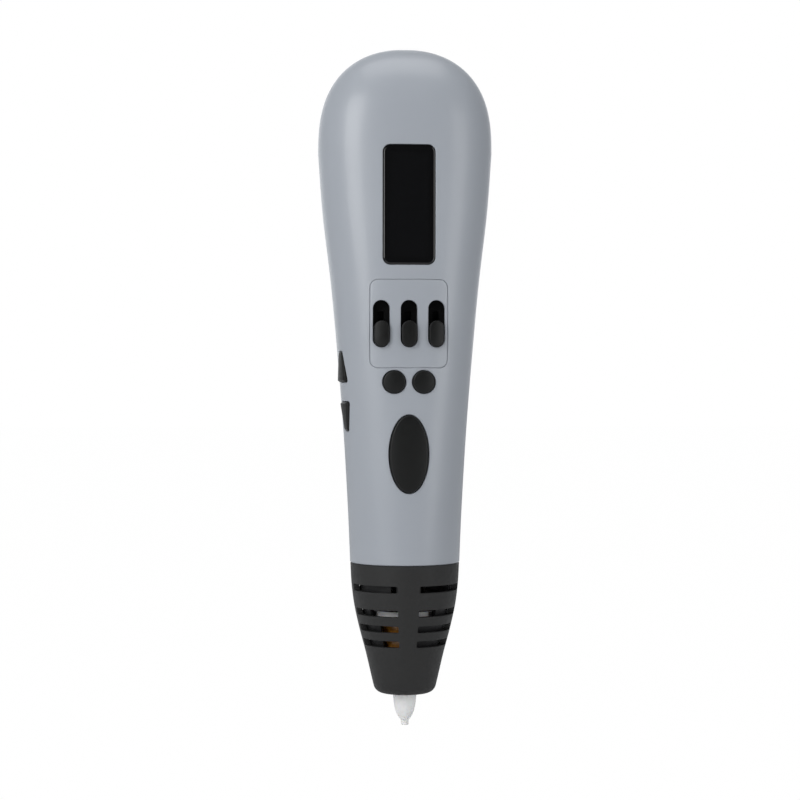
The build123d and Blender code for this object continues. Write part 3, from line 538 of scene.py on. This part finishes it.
def make_materials():
    made = {
        "window_black": make_window_glass(),
        "ceramic_white": make_ceramic(),
        "board_green": make_board(),
        "tape_amber": make_amber_tape(),
    }
    for name, look in PLASTICS.items():
        made[name] = plastic(name, *look)
    for name, look in METALS.items():
        made[name] = metal(name, *look)
    return made


MATERIALS = make_materials()
SLOT_OF = {part["node"]: part["material_slot"] for part in frame["record"]["subparts"]}
BODY_OF = {}
for body_name, members in frame["record"]["behaviour"]["bodies"].items():
    for member in members:
        BODY_OF[member] = body_name


def stand_for(piece, node):
    """The piece replaces a CAD node, on its body and with its material."""
    slot = SLOT_OF[node]
    piece.data.materials.clear()
    piece.data.materials.append(MATERIALS[slot])
    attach(piece, BODY_OF[node])
    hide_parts(node)


# ------------------------------------------------------------------ housing shells
SEAM_BEVEL = 0.14
EDGE_BEVEL = 0.22
COLUMNS = 120
ROW_STEP = 1.1
DOME_ROWS = 44
DOME_LAST_DEGREES = 83.0


def shell_rows(inset):
    """(z, half width, half depth, section power) up the shell."""
    rows = []
    body_rows = round((WIDEST_Z - CAP_TOP_Z) / ROW_STEP)
    levels = [CAP_TOP_Z, CAP_TOP_Z + EDGE_BEVEL]
    levels += [CAP_TOP_Z + (WIDEST_Z - CAP_TOP_Z) * k / body_rows for k in range(1, body_rows + 1)]
    for i, z in enumerate(levels):
        inward = inset + (EDGE_BEVEL if i == 0 and inset == 0 else 0)
        rows.append((z, half_width(z) - inward, half_depth(z) - inward, section_power(z)))
    for k in range(1, DOME_ROWS + 1):
        a = math.radians(DOME_LAST_DEGREES) * k / DOME_ROWS
        reach = math.cos(a) ** (2 / DOME_REACH_POWER)
        z = WIDEST_Z + (DOME_HEIGHT - inset) * math.sin(a) ** (2 / DOME_RISE_POWER)
        half_x = (HEAD_HALF_WIDTH - inset) * reach
        half_y = (HEAD_HALF_DEPTH - inset) * reach
        rows.append((z, half_x, half_y, HEAD_SECTION_POWER))
    return rows


def half_section(row, front, bevel):
    """Points of one half of a horizontal section, from -X round to +X."""
    z, half_x, half_y, power = row
    side = -1 if front else 1
    near = bevel / half_y if bevel else math.pi / COLUMNS / 2
    turns = [near + (math.pi - 2 * near) * k / COLUMNS for k in range(COLUMNS + 1)]
    turns = [0.0, *turns, math.pi]
    points = []
    for k, a in enumerate(turns):
        c = -math.cos(a)
        s = math.sin(a)
        scale = (abs(c) ** power + abs(s) ** power) ** (-1 / power)
        x = half_x * scale * c
        if bevel and k in (0, len(turns) - 1):
            x -= math.copysign(bevel, c)
        points.append((x, side * half_y * scale * s, z))
    return points


def make_shell_half(name, front):
    outer = [half_section(row, front, SEAM_BEVEL) for row in shell_rows(0.0)]
    inner = [half_section(row, front, 0.0) for row in shell_rows(WALL)]
    count = len(outer[0])
    verts = [p for ring in outer + inner for p in ring]
    rows = len(outer)
    shift = rows * count
    faces = []
    for r in range(rows - 1):
        for k in range(count - 1):
            a = r * count + k
            faces.append((a, a + 1, a + count + 1, a + count))
            faces.append((shift + a, shift + a + count, shift + a + count + 1, shift + a + 1))
        for k in (0, count - 1):
            a = r * count + k
            faces.append((a, a + count, shift + a + count, shift + a))
    for k in range(count - 1):
        faces.append((k, shift + k, shift + k + 1, k + 1))
    last = (rows - 1) * count
    outer_top = len(verts)
    inner_top = outer_top + 1
    verts += [(0, 0, outer[-1][0][2]), (0, 0, inner[-1][0][2])]
    for k in range(count - 1):
        faces.append((last + k, last + k + 1, outer_top))
        faces.append((shift + last + k + 1, shift + last + k, inner_top))
    faces.append((last, outer_top, inner_top, shift + last))
    faces.append((outer_top, last + count - 1, shift + last + count - 1, inner_top))
    return mesh_object(name, verts, faces)


WINDOW_LOW, WINDOW_HIGH = node_box("display_window")
PLATE_LOW, PLATE_HIGH = node_box("switch_plate")
WINDOW_CORNER = 2.0
WINDOW_GAP = 0.05
PLATE_CORNER = 2.2
RIM = 0.2
PLATE_GAP = 0.02
PLATE_LEDGE = 0.65
PLATE_RIM = 0.22
PLATE_EDGE_R = 0.32


def outline_of(low, high, corner):
    """Rounded rectangle of a box's front view."""
    return box_outline(
        (low.x + high.x) / 2, (low.z + high.z) / 2, high.x - low.x, high.z - low.z, corner
    )


WINDOW_OUTLINE = outline_of(WINDOW_LOW, WINDOW_HIGH, WINDOW_CORNER)
PLATE_OUTLINE = outline_of(PLATE_LOW, PLATE_HIGH, PLATE_CORNER)
FLANGE_LIP = 0.6


def control_box(node):
    """Middle and half-sizes of a control's visible outline, without its hidden flange."""
    low, high = node_box(node)
    middle = (low + high) / 2
    return middle, (high - low) / 2 - Vector((FLANGE_LIP, FLANGE_LIP, FLANGE_LIP))


ROUND_BUTTONS = {}
for side in ("left", "right"):
    spot, half = control_box(f"round_button_{side}")
    ROUND_BUTTONS[side] = rounded([(spot.x, spot.z)], half.x, 16)
oval_spot, oval_half = control_box("oval_button")
OVAL_OUTLINE = ellipse_outline(oval_spot.x, oval_spot.z, oval_half.x, oval_half.z)

KEY_CORNER = 0.5
KEY_TIP_HALF = 1.4


def inset_corners(corners, distance):
    """Corners of a counterclockwise polygon moved inward by a distance."""
    moved = []
    count = len(corners)
    for i in range(count):
        p, q, r = (Vector(corners[(i + k) % count]) for k in (-1, 0, 1))
        into = (q - p).normalized()
        out = (r - q).normalized()
        normal_in = Vector((-into.y, into.x))
        normal_out = Vector((-out.y, out.x))
        middle = (normal_in + normal_out).normalized()
        moved.append(tuple(q + middle * (distance / middle.dot(normal_in))))
    return moved


def key_outline(name):
    """Blunt triangle in y and z, with its base towards the other key."""
    spot, half = control_box(f"side_button_{name}")
    up = 1 if name == "up" else -1
    base_z = spot.z - up * half.z
    apex_z = spot.z + up * half.z
    corners = [
        (spot.y - half.y, base_z),
        (spot.y + half.y, base_z),
        (spot.y + KEY_TIP_HALF, apex_z),
        (spot.y - KEY_TIP_HALF, apex_z),
    ]
    if up < 0:
        corners.reverse()
    return rounded(inset_corners(corners, KEY_CORNER), KEY_CORNER, 6, 6)


KEY_SECTIONS = {"up": ((92.0, 18.55), (103.0, 18.55)), "down": ((79.0, 16.7), (89.0, 18.0))}
KEY_HALF_DEPTH = 15.4
KEY_SECTION_POWER = 2.5


def key_face(name):
    """Surface of a key's outer face, which is curved as the side of the housing is."""
    (z0, reach0), (z1, reach1) = KEY_SECTIONS[name]

    def surface(u, v, h):
        reach = reach0 + (reach1 - reach0) * (v - z0) / (z1 - z0)
        across = abs(u) / KEY_HALF_DEPTH
        return (-reach * (1 - across**KEY_SECTION_POWER) ** (1 / KEY_SECTION_POWER) - h, u, v)

    return surface


DEEP = -7.0
KEY_HOLE_DEPTH = 5.0
INLET_HOLE_R = 3.25
INLET_FLOOR_Z = 170.0


def recess(ledge, gap, rim):
    """Profile of an opening with a seat for the piece that closes it."""
    return [(-ledge, DEEP), (-ledge, -LEDGE), (gap, -LEDGE)] + flared(gap, rim)


def inlet_cutter(name):
    """Upright hole for the filament inlet, on the pen's axis."""
    circle = rounded([(0, 0)], INLET_HOLE_R, 16)
    return pad(name, top_skin, circle, [(0, ("at", INLET_FLOOR_Z)), (0, 1.0)])


def make_front_shell():
    shell = make_shell_half("front_shell_skin", True)
    button_hole = [(GAP, DEEP)] + flared(GAP, RIM)
    cutters = [
        pad("cut_window", front_skin, WINDOW_OUTLINE, recess(LEDGE, WINDOW_GAP, RIM)),
        pad("cut_plate", front_skin, PLATE_OUTLINE, recess(PLATE_LEDGE, PLATE_GAP, PLATE_RIM)),
        pad("cut_oval", front_skin, OVAL_OUTLINE, button_hole),
        inlet_cutter("cut_ferrule"),
    ]
    key_hole = [(GAP, -KEY_HOLE_DEPTH)] + flared(GAP, RIM)
    for name in ("up", "down"):
        cutters.append(pad(f"cut_key_{name}", side_skin, key_outline(name), key_hole))
    boolean(shell, cutters, "DIFFERENCE")
    rounds = []
    for side, outline in ROUND_BUTTONS.items():
        rounds.append(pad(f"cut_round_{side}", front_skin, outline, button_hole))
    boolean(shell, rounds, "DIFFERENCE")
    stand_for(shell, "front_shell")


SCREW_HOLE_R = 2.2
SCREW_BOSS_R = 2.9
SCREW_BOSS_LENGTH = 4
SCREW_HEAD_R = 2.0
LOWER_SCREWS_X = 9.5
LOWER_SCREWS_Z = 57.0
UPPER_SCREWS_Z = 160.0
SCREW_SEATS = {LOWER_SCREWS_Z: 9.3, UPPER_SCREWS_Z: 10.0}
BOSS_BELOW_SKIN = 0.7
JACK_GAP = 0.1
JACK_BOSS = 1.4
JACK_BOSS_BOTTOM_Z = 168.5
JACK_HOLE_BOTTOM_Z = 160.0


def screw_places():
    """(x, z) of the four screws in the rear half."""
    low, high = node_box("housing_screws")
    return [
        (-LOWER_SCREWS_X, LOWER_SCREWS_Z),
        (LOWER_SCREWS_X, LOWER_SCREWS_Z),
        (low.x + SCREW_HEAD_R, UPPER_SCREWS_Z),
        (high.x - SCREW_HEAD_R, UPPER_SCREWS_Z),
    ]


def make_rear_shell():
    shell = make_shell_half("rear_shell_skin", False)
    jack = node_middle("power_jack")
    jack_r = (node_box("power_jack")[1].x - jack.x) + JACK_GAP
    jack_circle = rounded([(jack.x, jack.y)], jack_r, 16)
    jack_boss = [(JACK_BOSS, ("at", JACK_BOSS_BOTTOM_Z)), (JACK_BOSS, -BOSS_BELOW_SKIN)]
    bosses = [pad("boss_jack", top_skin, jack_circle, jack_boss)]
    cutters = [
        pad("cut_jack", top_skin, jack_circle, [(0, ("at", JACK_HOLE_BOTTOM_Z))] + flared(0, RIM)),
        inlet_cutter("cut_inlet"),
    ]
    screw_wall = SCREW_BOSS_R - SCREW_HOLE_R
    for i, (x, z) in enumerate(screw_places()):
        hole = rounded([(x, z)], SCREW_HOLE_R, 12)
        seat = SCREW_SEATS[z]
        boss = [(screw_wall, ("at", seat - SCREW_BOSS_LENGTH)), (screw_wall, -BOSS_BELOW_SKIN)]
        bosses.append(pad(f"boss_{i}", rear_skin, hole, boss))
        cutters.append(pad(f"cut_screw_{i}", rear_skin, hole, [(0, ("at", seat))] + flared(0, RIM)))
    boolean(shell, bosses, "UNION")
    boolean(shell, cutters, "DIFFERENCE")
    stand_for(shell, "rear_shell")


# ------------------------------------------------------------------ controls
WINDOW_CROWN = 0.02
WINDOW_RIM = [(0.0, -0.28), (-0.03, -0.23), (-0.12, -0.225), (-0.26, -0.22)]
WINDOW_BEVEL = [(-0.42, -0.16), (-0.46, -0.153), (-0.6, -0.15)]


def make_window():
    """Lens just below the skin, with a low rim and a narrow bevel up to its face."""
    profile = [(0.0, -LEDGE), *WINDOW_RIM, *WINDOW_BEVEL]
    piece = pad("window_lens", front_skin, WINDOW_OUTLINE, profile, WINDOW_CROWN)
    stand_for(piece, "display_window")


SLIDERS = {side: node_middle(f"slider_knob_{side}") for side in ("left", "middle", "right")}
SLOT_WIDTH = 4.5
SLOT_LENGTH = 12.6
SLOT_CUT_DEPTH = 4.0
SLOT_FLARE = 0.08


def make_plate():
    profile = [(0.0, -LEDGE)] + rounded_rim(0.0, PLATE_EDGE_R, 6)
    plate = pad("switch_panel", front_skin, PLATE_OUTLINE, profile, 0.0, 12)
    cutters = []
    for side, spot in SLIDERS.items():
        slot = slot_outline(spot.x, (PLATE_LOW.z + PLATE_HIGH.z) / 2, SLOT_WIDTH, SLOT_LENGTH)
        profile = [(0, -SLOT_CUT_DEPTH)] + flared(0, SLOT_FLARE)
        cutters.append(pad(f"cut_slot_{side}", front_skin, slot, profile))
    boolean(plate, cutters, "DIFFERENCE")
    stand_for(plate, "switch_plate")


KNOB_NECK = 0.3
KNOB_UNDERSIDE = 0.3
KNOB_PROUD = 1.3
KNOB_EDGE_R = 0.35
BUTTON_CROWN = 0.12


def make_knob(side):
    low, high = node_box(f"slider_knob_{side}")
    spot = (low + high) / 2
    outline = slot_outline(spot.x, spot.z, high.x - low.x, high.z - low.z)
    profile = [(-KNOB_NECK, ("at", high.y)), (-KNOB_NECK, KNOB_UNDERSIDE), (0.0, KNOB_UNDERSIDE)]
    profile += rounded_rim(KNOB_PROUD, KNOB_EDGE_R, 8)
    piece = pad(f"knob_{side}", front_skin, outline, profile, BUTTON_CROWN, 10)
    stand_for(piece, f"slider_knob_{side}")


BUTTON_PROUD = 0.7
BUTTON_DEPTH = 2.9
ROUND_EDGE_R = 0.4
OVAL_EDGE_R = 0.5


def button_profile(radius):
    """Hidden flange under the housing's wall, then the button with its edge rounded."""
    flange = [(FLANGE_LIP, -BUTTON_DEPTH), (FLANGE_LIP, -WALL - GAP), (0.0, -WALL - GAP)]
    return flange + rounded_rim(BUTTON_PROUD - BUTTON_CROWN, radius, 7)


def make_round_button(side):
    profile = button_profile(ROUND_EDGE_R)
    piece = pad(f"button_{side}_cap", front_skin, ROUND_BUTTONS[side], profile, BUTTON_CROWN, 10)
    stand_for(piece, f"round_button_{side}")


def make_oval_button():
    profile = button_profile(OVAL_EDGE_R)
    piece = pad("button_oval_cap", front_skin, OVAL_OUTLINE, profile, BUTTON_CROWN, 12)
    stand_for(piece, "oval_button")


KEY_DEPTH = 3.1
KEY_CHAMFER = 0.44


def make_key(name):
    profile = [(0.0, -KEY_DEPTH), (0.0, -KEY_CHAMFER), (-KEY_CHAMFER, 0.0)]
    piece = pad(f"key_{name}_cap", key_face(name), key_outline(name), profile, 0.0, 6)
    stand_for(piece, f"side_button_{name}")


# ------------------------------------------------------------------ nozzle cap and nozzle
CAP_WALL = 1.7
CAP_RADII = (
    (8.9, 8.03),
    (13.4, 9.1),
    (20.0, 10.65),
    (26.6, 12.4),
    (33.0, 13.8),
    (39.0, 14.55),
    (CAP_TOP_Z, 14.85),
)
CAP_EDGE_R = 1.9
SPIGOT_BORE_R = 12.75
SPIGOT_BOTTOM_Z = 39.6
CAP_HOLE_R = 3.5
CAP_HOLE_CHAMFER = 0.25
CAP_UNDER_SPIGOT = 0.6
CAP_EDGE_STEPS = 8
CAP_OUTER_ROWS = 40
CAP_INNER_ROWS = 24
VENT_ROWS = (38.0, 31.5, 27.2, 23.1)
VENT_HEIGHT = 1.8
VENT_START = 12.0
VENT_SPAN = 66.0
VENT_CORNER = 0.45
VENT_CUT_DEPTH = 3.2
VENT_FLARE = 0.15


def cap_radius(z):
    return smooth_through(CAP_RADII, z)


def cap_profile():
    """Closed loop of (radius, z): up the outside, then down the inside."""
    points = []
    for k in range(CAP_EDGE_STEPS + 1):
        a = math.pi / 2 * k / CAP_EDGE_STEPS
        z = CAP_BOTTOM_Z + CAP_EDGE_R * (1 - math.cos(a))
        points.append((cap_radius(z) - CAP_EDGE_R * (1 - math.sin(a)), z))
    level = CAP_BOTTOM_Z + CAP_EDGE_R
    for k in range(1, CAP_OUTER_ROWS + 1):
        z = level + (CAP_TOP_Z - EDGE_BEVEL - level) * k / CAP_OUTER_ROWS
        points.append((cap_radius(z), z))
    points.append((cap_radius(CAP_TOP_Z) - EDGE_BEVEL, CAP_TOP_Z))
    points.append((SPIGOT_BORE_R, CAP_TOP_Z))
    points.append((SPIGOT_BORE_R, SPIGOT_BOTTOM_Z))
    floor_top = CAP_BOTTOM_Z + CAP_WALL
    top = SPIGOT_BOTTOM_Z - CAP_UNDER_SPIGOT
    for k in range(CAP_INNER_ROWS + 1):
        z = top + (floor_top - top) * k / CAP_INNER_ROWS
        points.append((cap_radius(z) - CAP_WALL, z))
    points.append((CAP_HOLE_R, floor_top))
    points.append((CAP_HOLE_R, CAP_BOTTOM_Z + CAP_HOLE_CHAMFER))
    points.append((CAP_HOLE_R + CAP_HOLE_CHAMFER, CAP_BOTTOM_Z))
    return points


def vent_cutter(row, start, turn):
    """Rounded arc-shaped slot through the cap wall."""
    z = VENT_ROWS[row]
    r = cap_radius(z)
    low = math.radians(start + turn) * r
    high = math.radians(start + turn + VENT_SPAN) * r

    def cap_skin(u, v, h):
        a = u / r
        out = cap_radius(v) + h
        return (out * math.sin(a), -out * math.cos(a), v)

    outline = box_outline((low + high) / 2, z, high - low, VENT_HEIGHT, VENT_CORNER, 4, 28)
    profile = [(0, -VENT_CUT_DEPTH)] + flared(0, VENT_FLARE, 3)
    return pad(f"cut_vent_{row}_{start}_{turn}", cap_skin, outline, profile, 0.0, 2)


def make_cap():
    cap = turned("cap_body", cap_profile(), 288)
    cutters = []
    for row in range(len(VENT_ROWS)):
        for start in (VENT_START, 180 - VENT_START - VENT_SPAN):
            for turn in (0, 180):
                cutters.append(vent_cutter(row, start, turn))
    boolean(cap, cutters, "DIFFERENCE")
    stand_for(cap, "nozzle_cap")


NOZZLE_RADII = ((1.3, 1.1), (2.2, 1.75), (3.6, 2.45), (5.4, 2.9), (7.2, 3.12), (9.0, 3.25))
NOZZLE_TIP_R = 1.05
NOZZLE_TIP_TOP_Z = 1.3
NOZZLE_TIP_EDGE = 0.12
NOZZLE_BORE_R = 0.35
NOZZLE_BORE_TOP_Z = 1.5
NOZZLE_BORE_CHAMFER = 0.08
NOZZLE_SOCKET_R = 1.1
NOZZLE_SOCKET_BOTTOM_Z = 2.6
NOZZLE_NECK_Z = 9.0
NOZZLE_ROWS = 26
FLUTES = 24
FLUTE_DEPTH = 0.035
FLUTES_FROM_Z = 4.0
FLUTES_FULL_AFTER = 3.0
FLUTES_OUTSIDE_R = 2.0


def make_nozzle():
    """Ceramic nozzle, with the faint upright flutes of its neck."""
    top = node_box("nozzle_tip")[1].z
    neck_r = NOZZLE_RADII[-1][1]
    profile = [
        (NOZZLE_BORE_R, NOZZLE_BORE_TOP_Z),
        (NOZZLE_BORE_R, NOZZLE_BORE_CHAMFER),
        (NOZZLE_BORE_R + NOZZLE_BORE_CHAMFER, 0.0),
        (NOZZLE_TIP_R - NOZZLE_TIP_EDGE, 0.0),
        (NOZZLE_TIP_R, NOZZLE_TIP_EDGE),
        (NOZZLE_TIP_R, NOZZLE_TIP_TOP_Z),
    ]
    for k in range(NOZZLE_ROWS + 1):
        z = NOZZLE_TIP_TOP_Z + (NOZZLE_NECK_Z - NOZZLE_TIP_TOP_Z) * k / NOZZLE_ROWS
        profile.append((smooth_through(NOZZLE_RADII, z), z))
    profile += [(neck_r, top), (NOZZLE_SOCKET_R, top), (NOZZLE_SOCKET_R, NOZZLE_SOCKET_BOTTOM_Z)]
    piece = turned("nozzle_body", profile, 96)
    for vertex in piece.data.vertices:
        x, y, z = vertex.co
        if z / MM > FLUTES_FROM_Z and math.hypot(x, y) / MM > FLUTES_OUTSIDE_R:
            wave = math.cos(FLUTES * math.atan2(y, x))
            depth = FLUTE_DEPTH * min((z / MM - FLUTES_FROM_Z) / FLUTES_FULL_AFTER, 1.0)
            scale = 1 - depth * (1 - wave) / 2 / neck_r
            vertex.co.x = x * scale
            vertex.co.y = y * scale
    stand_for(piece, "nozzle_tip")


# ------------------------------------------------------------------ building the pen
make_front_shell()
make_rear_shell()
make_window()
make_plate()
for side in SLIDERS:
    make_knob(side)
for side in ROUND_BUTTONS:
    make_round_button(side)
make_oval_button()
for name in ("up", "down"):
    make_key(name)
make_cap()
make_nozzle()


SOFT_EDGE = 0.12
SOFT_EDGE_DEGREES = 40


def finish_cad_nodes():
    """The CAD nodes that stay get their material and softened edges."""
    for node, piece in frame["nodes"].items():
        piece.data.materials.clear()
        piece.data.materials.append(MATERIALS[SLOT_OF[node]])
        shade(piece.data)
        soft = piece.modifiers.new("edges", "BEVEL")
        soft.width = SOFT_EDGE * MM
        soft.segments = 2
        soft.limit_method = "ANGLE"
        soft.angle_limit = math.radians(SOFT_EDGE_DEGREES)


finish_cad_nodes()

# ------------------------------------------------------------------ studio
CAMERA_DISTANCE = 534.3
CAMERA_AZIMUTH = -4.3
LENS = 88.0
SENSOR_WIDTH = 36.0
NEAREST_SEEN = 0.01
AIM_Z = 88.62
PEN_RIGHT_OF_MIDDLE = 1.28


def make_camera():
    data = bpy.data.cameras.new("camera")
    data.lens = LENS
    data.sensor_width = SENSOR_WIDTH
    data.clip_start = NEAREST_SEEN
    camera = bpy.data.objects.new("camera", data)
    bpy.context.scene.collection.objects.link(camera)
    turn = math.radians(CAMERA_AZIMUTH)
    back = Vector((math.sin(turn), -math.cos(turn), 0)) * CAMERA_DISTANCE
    right = Vector((math.cos(turn), math.sin(turn), 0))
    camera.location = (back - right * PEN_RIGHT_OF_MIDDLE + Vector((0, 0, AIM_Z))) * MM
    camera.rotation_euler = (math.radians(90), 0, turn)
    bpy.context.scene.camera = camera


LIGHTS_AIM = (0, 0, 100)
# (name, place, width, height, power)
LIGHTS = (
    ("key_left", (-370, -400, 310), 260, 420, 1.95),
    ("fill_right", (400, -400, 160), 200, 520, 0.85),
    ("top", (0, -60, 620), 420, 320, 0.85),
)


def area_light(name, place, width, height, power):
    """Rectangular white lamp that faces the middle of the pen."""
    data = bpy.data.lights.new(name, "AREA")
    data.shape = "RECTANGLE"
    data.size = width * MM
    data.size_y = height * MM
    data.energy = power
    lamp = bpy.data.objects.new(name, data)
    bpy.context.scene.collection.objects.link(lamp)
    lamp.location = Vector(place) * MM
    aim = Vector(LIGHTS_AIM) - Vector(place)
    lamp.rotation_euler = aim.to_track_quat("-Z", "Y").to_euler()


FLOOR_WHITENESS = 0.995
FLOOR_REACH = 6.0


def make_floor():
    """Pale floor that the camera sees as almost pure white."""
    mesh = bpy.data.meshes.new("floor")
    turns = ((-1, -1), (1, -1), (1, 1), (-1, 1))
    corners = [(FLOOR_REACH * right, FLOOR_REACH * back, 0) for right, back in turns]
    mesh.from_pydata(corners, [], [(0, 1, 2, 3)])
    floor = bpy.data.objects.new("floor", mesh)
    bpy.context.scene.collection.objects.link(floor)
    n = Nodes("floor_white")
    n.link(n.blend(n.noise(60.0, 2.0), grey(0.9), grey(0.92)), "Base Color")
    n.shader.inputs["Roughness"].default_value = 0.8
    n.shader.inputs["Specular IOR Level"].default_value = 0.1
    glow = n.add("Emission")
    glow.inputs["Strength"].default_value = 1.0
    path = n.add("LightPath")
    share = n.add("Math", {0: path.outputs["Is Camera Ray"]}, operation="MULTIPLY")
    share.inputs[1].default_value = FLOOR_WHITENESS
    mix = n.add("MixShader", {0: share.outputs[0], 1: n.shader.outputs[0], 2: glow.outputs[0]})
    n.tree.links.new(mix.outputs[0], n.tree.nodes["Material Output"].inputs["Surface"])
    mesh.materials.append(n.material)


# Brightness of the room from straight in front of the pen (0) round to straight behind it (1).
ROOM_LIGHT = ((0.1, 0.07), (0.35, 0.42), (0.84, 0.40), (0.97, 1.2))


def make_world():
    """White to the camera; it lights the pen from the sides and the back more than from the front."""
    world = bpy.data.worlds.new("studio")
    bpy.context.scene.world = world
    world.use_nodes = True
    tree = world.node_tree
    tree.nodes.clear()
    output = tree.nodes.new("ShaderNodeOutputWorld")
    seen = tree.nodes.new("ShaderNodeBackground")
    seen.inputs["Color"].default_value = (1, 1, 1, 1)
    seen.inputs["Strength"].default_value = 1.0
    place = tree.nodes.new("ShaderNodeTexCoord")
    split = tree.nodes.new("ShaderNodeSeparateXYZ")
    tree.links.new(place.outputs["Generated"], split.inputs[0])
    spread = tree.nodes.new("ShaderNodeMapRange")
    spread.inputs["From Min"].default_value = -1.0
    tree.links.new(split.outputs["Y"], spread.inputs["Value"])
    ramp = tree.nodes.new("ShaderNodeValToRGB")
    for stop in ROOM_LIGHT[2:]:
        ramp.color_ramp.elements.new(stop[0])
    for element, (position, level) in zip(ramp.color_ramp.elements, ROOM_LIGHT):
        element.position = position
        element.color = (level, level, level, 1)
    tree.links.new(spread.outputs["Result"], ramp.inputs["Fac"])
    fill = tree.nodes.new("ShaderNodeBackground")
    fill.inputs["Color"].default_value = (0.95, 0.975, 1.0, 1)
    tree.links.new(ramp.outputs["Color"], fill.inputs["Strength"])
    path = tree.nodes.new("ShaderNodeLightPath")
    mix = tree.nodes.new("ShaderNodeMixShader")
    tree.links.new(path.outputs["Is Camera Ray"], mix.inputs[0])
    tree.links.new(fill.outputs[0], mix.inputs[1])
    tree.links.new(seen.outputs[0], mix.inputs[2])
    tree.links.new(mix.outputs[0], output.inputs["Surface"])


make_camera()
make_floor()
make_world()
for light in LIGHTS:
    area_light(*light)
bpy.context.scene.view_settings.view_transform = "Standard"
